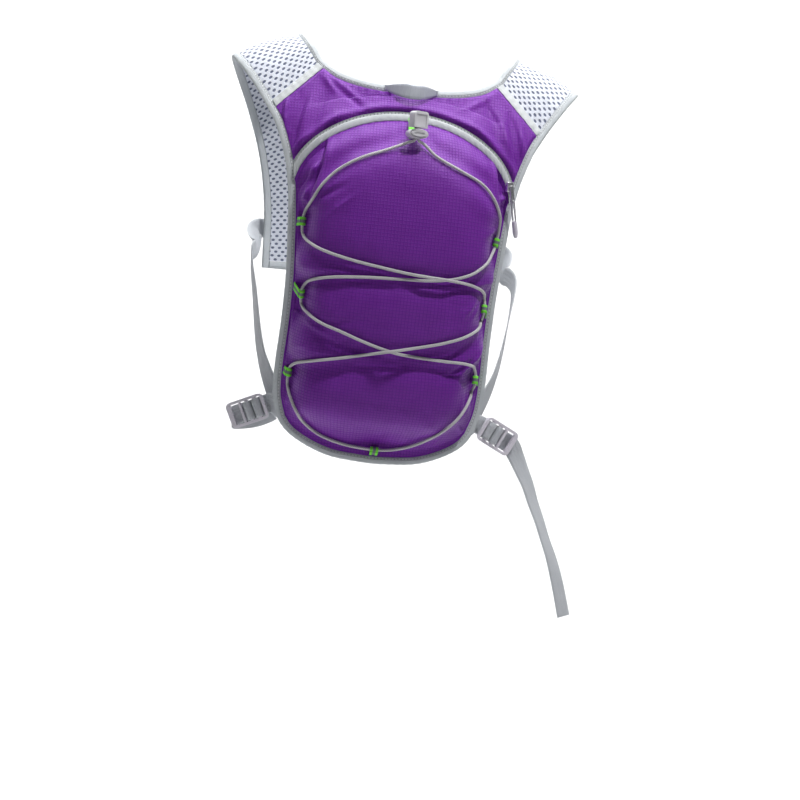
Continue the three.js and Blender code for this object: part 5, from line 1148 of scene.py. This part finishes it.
def bungee(points):
    def strand(sign):
        x = LOCK_X + sign * 3.5 * math.cos(LOCK_TURN) / 2
        y = SEAT_DEPTH + sign * 3.5 * math.sin(LOCK_TURN) / 2
        return [vec(x, y, SOCKET_TOP - CLEARANCE), vec(x, y, LOCK_Z + LOCK_HEIGHT / 2 + 0.5),
                vec(x, y, LOCK_Z - LOCK_HEIGHT / 2 - 0.8)]
    every = strand(-1) + points + strand(1)[::-1]
    cuts = 7
    smooth = finer(every, cuts)
    first, last = 3 * cuts, len(smooth) - 3 * cuts
    depths = smooth[:, 1].copy()
    for i in range(first, last):
        free = foot_depth(smooth[i, 0], smooth[i, 2], CORD_RADIUS * 0.8) - CORD_RADIUS - 0.15
        depths[i] = min(depths[i], free)
    kernel = np.array([1, 2, 3, 2, 1]) / 9
    eased_depths = np.convolve(np.pad(depths, 2, mode="edge"), kernel, mode="valid")
    smooth[first:last, 1] = np.minimum(eased_depths, depths + 0.25)[first:last]
    tube("bungee", smooth, CORD_RADIUS, 12, "cord", ["bungee_cord"])


def cord_loops(points):
    for name in LOOP_NAMES:
        start, end = [points[i] for i, row in enumerate(ROUTE) if row[3] == name]
        middle = (start + end) / 2
        axis = unit(end - start)
        inner = nearest_on_outline(middle, BINDING_WIDTH + 0.6)
        to_seat = over_back(inner, 0.5 * BINDING_TOP) - middle
        to_seat = to_seat - axis * (to_seat @ axis)
        reach = np.linalg.norm(to_seat)
        out = unit(to_seat)
        if np.cross(axis, out)[1] > 0:
            axis = -axis
        side = np.cross(axis, out)
        grip = LOOP_OUTER - TAB_THICKNESS / 2
        leave = math.acos(min(1, grip / reach))
        angles = np.linspace(leave, leave - 2 * math.pi + 0.5, 36)
        local = [(reach, 0.3), *[(grip * math.cos(a), grip * math.sin(a)) for a in angles]]
        line = [np.array(local[0]) * (1 - t) + np.array(local[1]) * t for t in np.linspace(0, 1, 8)[:-1]]
        flat = np.array([*line, *local[1:]])
        path = middle + flat[:, :1] * out + flat[:, 1:] * side
        strap("loop_ribbon_" + name, path, np.tile(axis, (len(path), 1)), TAB_WIDTH, TAB_THICKNESS * 0.85, "neon_ribbon",
              ["cord_loop_" + name], edge=0.4)


route_points = cord_points()
bungee(route_points)
cord_loops(route_points)


def anchor_ribbon():
    x = LOCK_X - 3
    end_z = LOCK_Z + LOCK_HEIGHT / 2 + 1 + END_HEIGHT / 2
    top, low = end_z + END_HEIGHT * 0.2, LOCK_Z - LOCK_HEIGHT * 0.4
    points = []
    for t in even(5):
        z = top + (low - top) * t
        points.append(vec(x, foot_depth(x, z, TAB_WIDTH / 2 + 1) - CLEARANCE - RIBBON_THICKNESS / 2, z))
    smooth = finer(points, 4)
    strap("anchor_ribbon", smooth, np.tile([1.0, 0, 0], (len(smooth), 1)), TAB_WIDTH, RIBBON_THICKNESS, "neon",
          ["cord_anchor_top"])


anchor_ribbon()

# ---------------------------------------------------------------- straps
LEVEL_STEP = WEBBING_THICKNESS + 0.5
SEWN_LIFT = -(BINDING_UNDER + CLEARANCE + WEBBING_THICKNESS / 2 + 0.2)
BUCKLE_CENTRE = vec(128, -36, -385)
BUCKLE_ALONG = unit(vec(0.86, 0.3, -0.41))
BUCKLE_FACE = unit(vec(0.2, -1, -0.1) - BUCKLE_ALONG * (vec(0.2, -1, -0.1) @ BUCKLE_ALONG))
BUCKLE_ACROSS = np.cross(BUCKLE_FACE, BUCKLE_ALONG)
OVER_BAR = BUCKLE_THICKNESS / 2 + 3 * CLEARANCE + WEBBING_THICKNESS / 2
SLOTS = {"stub": -0.3725, "between": -0.1625, "adjuster": 0.045}


def laid_strap(name, sign, holds, width, replaces, samples=100):
    count = len(holds) - 1
    t_values = np.linspace(0, count, samples + 1)
    points = catmull([h[0] for h in holds], t_values)
    along = tangents(points)
    normals = np.array([h[1] for h in holds])
    blended = unit(np.stack([np.interp(t_values, np.arange(count + 1), normals[:, k]) for k in range(3)], axis=-1))
    across = np.cross(along, blended)
    flip_x = np.array([sign, 1, 1])
    strap(name, points * flip_x, across * flip_x, width, WEBBING_THICKNESS, "webbing", replaces)


def yoke_hold(station, from_neck, lift):
    return over_yoke(station, from_neck, lift), yoke_normals[int(round(station))]


def side_strap(side, sign):
    holds = []
    for half, down, lift in ((0.84, 0.925, -0.4), (0.93, 0.902, -1.9), (1.03, 0.872, -4.4)):
        place = vec(half * PACK_HALF, 0, -down * PACK_HEIGHT)
        holds.append((over_back(place, SEWN_LIFT - 2.4 * LEVEL_STEP + lift), back_normal(place[0], place[2])))
    for out, on, down in ((1.15, -0.24, 0.77), (1.27, -0.02, 0.62), (1.32, 0.22, 0.545), (1.3, 0.5, 0.52), (1.27, 0.72, 0.51)):
        point = vec(out * PACK_HALF, on * CHEST_DEPTH, -down * PACK_HEIGHT)
        holds.append((point, unit(vec(point[0], (point[1] - 5) * 1.2, 0))))
    station = yoke_last - 2
    top = YOKE_THICKNESS + 1 + CLEARANCE + WEBBING_THICKNESS / 2
    width = yoke_width(station)
    holds += [yoke_hold(station, width + 7.5, top + 2.6), yoke_hold(station, width - 5, top + 1.8),
              yoke_hold(station, width - 16, top + 0.8)]
    laid_strap("side_webbing_" + side, sign, holds, WEBBING_WIDTH, ["side_strap_" + side])


def on_buckle(u, n, v=0.0):
    return BUCKLE_CENTRE + BUCKLE_ALONG * u + BUCKLE_FACE * n + BUCKLE_ACROSS * v


def corner_holds(level):
    rows = []
    for half, down in ((0.83, 0.893), (0.94, 0.898)):
        place = vec(half * PACK_HALF, 0, -down * PACK_HEIGHT)
        rows.append((over_back(place, SEWN_LIFT - CLEARANCE - level * 1.3 * LEVEL_STEP), BUCKLE_ACROSS))
    return rows


def threaded(name, sign, path, start, finish, replaces):
    local = [(on_buckle(*row), BUCKLE_ACROSS) for row in path]
    stations = start + local + finish
    points = finer([s[0] for s in stations], 5)
    across = unit(finer([s[1] for s in stations], 5))
    flip_x = np.array([sign, 1, 1])
    strap(name, points * flip_x, across * flip_x, WEBBING_WIDTH - 1, WEBBING_THICKNESS - 0.1, "webbing", replaces)


def buckle_stub(side, sign):
    up, down = SLOTS["stub"] * BUCKLE_LENGTH, SLOTS["between"] * BUCKLE_LENGTH - 1.3
    inside = 0.4 * BUCKLE_THICKNESS
    path = [(-0.6 * BUCKLE_LENGTH, -OVER_BAR - 0.3), (up - 1.7, -OVER_BAR), (up, -inside), (up, inside),
            (up + 1.5, OVER_BAR), (down - 1.5, OVER_BAR), (down, inside), (down, -0.9 * BUCKLE_THICKNESS)]
    threaded("stub_webbing_" + side, sign, path, corner_holds(0), [], ["buckle_stub_" + side])


TAIL = [(150, -23, -402, 20), (158, -24, -417, 34), (166, -25, -432, 44), (173, -26, -449, 50), (181, -27, -466, 54),
        (189, -28, -485, 56), (197, -29, -503, 52), (204, -30, -522, 46), (210, -31, -541, 44), (216, -32, -562, 42)]


def adjuster(side, sign):
    up, down = SLOTS["between"] * BUCKLE_LENGTH + 1.3, SLOTS["adjuster"] * BUCKLE_LENGTH - 0.7
    inside = 0.4 * BUCKLE_THICKNESS
    lower = -OVER_BAR - WEBBING_THICKNESS - 1.1
    between = SLOTS["between"] * BUCKLE_LENGTH
    path = [(-0.6 * BUCKLE_LENGTH, lower - 1.2), (SLOTS["stub"] * BUCKLE_LENGTH - 3, lower - 1.4), (between - 3, lower - 1),
            (between - 1.4, lower + 0.1), (up, -OVER_BAR - 1.1), (up, -0.6 * BUCKLE_THICKNESS), (up, inside),
            (up + 1.5, OVER_BAR), (down - 1.6, OVER_BAR), (down, inside), (down, -0.45 * BUCKLE_THICKNESS),
            (down + 1.4, -OVER_BAR - 0.2), (0.32 * BUCKLE_LENGTH, -OVER_BAR - 0.7)]
    if side == "right":
        path.append((0.5 * BUCKLE_LENGTH, -OVER_BAR - 1.4))
        tail = []
        for x, y, z, turn in TAIL:
            turn = math.radians(turn)
            tail.append((vec(x, y, z), vec(math.cos(turn), math.sin(turn), 0.4 * math.cos(turn))))
        threaded("adjuster_webbing_right", sign, path, corner_holds(1), tail, ["adjuster_strap_right"])
        return
    path += [(0.47 * BUCKLE_LENGTH, -OVER_BAR - 2, -1), (0.53 * BUCKLE_LENGTH, -OVER_BAR - 4.6, -2.5),
             (0.5 * BUCKLE_LENGTH, -OVER_BAR - 7.6, -4.5), (0.34 * BUCKLE_LENGTH, -OVER_BAR - 10, -7),
             (0, -OVER_BAR - 11.5, -10), (-0.34 * BUCKLE_LENGTH, -OVER_BAR - 11, -10),
             (-0.52 * BUCKLE_LENGTH, -OVER_BAR - 10.2, -9)]
    threaded("adjuster_webbing_left", sign, path, corner_holds(1), [], ["adjuster_strap_left"])


def sternum_strap(side, sign):
    station = next(i for i, p in enumerate(yoke_middle) if p[1] > 0 and -p[2] > 0.27 * PACK_HEIGHT)
    top = YOKE_THICKNESS + 1 + CLEARANCE + WEBBING_THICKNESS / 2 + 0.5
    width = yoke_width(station)
    centre = vec(0, CHEST_DEPTH, -0.27 * PACK_HEIGHT)
    forward = vec(0, 1, 0)
    edge = yoke_hold(station, -2, top + 0.3)
    holds = [yoke_hold(station, 0.42 * width, top), yoke_hold(station, 0.12 * width, top + 0.2), edge,
             (vec(48, (edge[0][1] + centre[1]) / 2 + 2, (edge[0][2] + centre[2]) / 2), forward),
             (vec(24, centre[1], centre[2]), forward), (vec(15.3, centre[1], centre[2]), forward)]
    laid_strap("chest_webbing_" + side, sign, holds, CHEST_WEBBING, ["sternum_strap_" + side], 60)


for side_name, side_sign in (("right", 1), ("left", -1)):
    side_strap(side_name, side_sign)
    buckle_stub(side_name, side_sign)
    adjuster(side_name, side_sign)
    sternum_strap(side_name, side_sign)


# ---------------------------------------------------------------- moulded pieces, edges rounded
def rounded_copy(node, name, look, bevel, body="vest", segments=2):
    """The solid of a hard node with its edges rounded, as moulded pieces are."""
    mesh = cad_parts[node].data.copy()
    mesh.name = name
    bm = bmesh.new()
    bm.from_mesh(mesh)
    bmesh.ops.remove_doubles(bm, verts=bm.verts, dist=1e-6)
    bmesh.ops.dissolve_limit(bm, angle_limit=math.radians(2), verts=bm.verts, edges=bm.edges)
    edges = [e for e in bm.edges if len(e.link_faces) == 2 and e.calc_face_angle(0) > math.radians(32)]
    bmesh.ops.bevel(bm, geom=edges, offset=bevel * MM, segments=segments, profile=0.6, affect="EDGES", clamp_overlap=True)
    bmesh.ops.triangulate(bm, faces=[f for f in bm.faces if len(f.verts) > 4])
    bm.to_mesh(mesh)
    bm.free()
    mesh.shade_smooth()
    mesh.set_sharp_from_angle(angle=math.radians(38))
    mesh.materials.clear()
    mesh.materials.append(LOOKS[look])
    obj = bpy.data.objects.new(name, mesh)
    bpy.context.scene.collection.objects.link(obj)
    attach(obj, body)
    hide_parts(node)
    return obj


rounded_copy("cord_lock_body", "lock_barrel", "lock", 0.45)
rounded_copy("cord_lock_button", "lock_plunger", "lock", 0.4, body="lock_button")
rounded_copy("cord_end", "cord_cap", "lock", 0.7)
rounded_copy("sternum_clasp", "chest_clasp", "buckle", 1.2)
for side_name in ("right", "left"):
    rounded_copy("ladder_buckle_" + side_name, "tri_bar_" + side_name, "buckle", 0.7, segments=3)
rounded_copy("zip_slider", "slider", "zip_metal", 0.9)
rounded_copy("zip_pull_tab", "slider_tab", "zip_metal", 0.3)
tip = rounded_copy("zip_pull_tip", "pull_tip", "buckle", 0.6)

# Pull cord: doubled through the tab's eye and moulded into the tip
PULL_TURN = 13.66
PULL_END = 33.66
PULL_FROM = vec(107.418, -93.950, -135.505)
HANG = unit(vec(0.20852, 0.15880, -0.96504))
HANG_OUT = unit(vec(0.65475, -0.75565, 0.01713))
PULL_RADIUS = 0.9
pull_half = 0.6 + PULL_RADIUS + 0.35


def pull_at(along, off):
    return PULL_FROM + HANG * along + HANG_OUT * off


pull_route = [pull_at(PULL_END - i * 5.0, pull_half) for i in range(4)]
pull_route += [pull_at(PULL_TURN + 1.2, pull_half), pull_at(PULL_TURN, pull_half * 0.6), pull_at(PULL_TURN - 0.1, 0),
               pull_at(PULL_TURN, -pull_half * 0.6), pull_at(PULL_TURN + 1.2, -pull_half)]
pull_route += [pull_at(PULL_TURN + 5 + i * 5.0, -pull_half) for i in range(4)]
pull_path = finer(pull_route, 4)
pull = tube("pull_cord", pull_path, PULL_RADIUS, 10, "pull_cord", ["zip_pull_cord"])


# ---------------------------------------------------------------- floor and light
def stage():
    paint = Paint("floor", Roughness=0.9)
    paint.to("Base Color", paint.mix(paint.noise(3, 2), (0.8, 0.8, 0.8), (0.84, 0.84, 0.84)))
    floor_z, back_y, radius = -1.3, 2.4, 1.2
    profile = [(-4.5, floor_z), (back_y - radius, floor_z)]
    profile += [(back_y - radius + radius * math.sin(a), floor_z + radius - radius * math.cos(a))
                for a in np.linspace(0.1, math.pi / 2, 14)]
    profile.append((back_y, 3.5))
    vertices = [(x, y, z) for y, z in profile for x in (-6, 6)]
    faces = [(2 * i, 2 * i + 1, 2 * i + 3, 2 * i + 2) for i in range(len(profile) - 1)]
    mesh = bpy.data.meshes.new("floor")
    mesh.from_pydata(vertices, [], faces)
    mesh.shade_smooth()
    mesh.materials.append(paint.material)
    obj = bpy.data.objects.new("floor", mesh)
    bpy.context.scene.collection.objects.link(obj)


def area_light(name, place, aim, size, power, colour=(1, 1, 1)):
    light = bpy.data.lights.new(name, "AREA")
    light.shape = "DISK"
    light.size = size
    light.energy = power
    light.color = colour
    obj = bpy.data.objects.new(name, light)
    bpy.context.scene.collection.objects.link(obj)
    direction = Vector(aim) - Vector(place)
    obj.matrix_world = Matrix.Translation(place) @ direction.to_track_quat("-Z", "Y").to_matrix().to_4x4()


stage()
area_light("key", (0.85, -1.35, 2.6), (0, -0.1, -0.25), 0.22, 74)
area_light("fill", (-1.9, -1.9, 0.5), (0, -0.1, -0.3), 1.8, 3.5)
area_light("backdrop", (0, 0.7, 1.6), (0, 2.4, -0.5), 2.6, 95)
world = bpy.data.worlds.new("world")
world.use_nodes = True
world.node_tree.nodes["Background"].inputs[0].default_value = (0.93, 0.95, 1, 1)
world.node_tree.nodes["Background"].inputs[1].default_value = 0.13
bpy.context.scene.world = world
bpy.context.scene.view_settings.view_transform = "Standard"
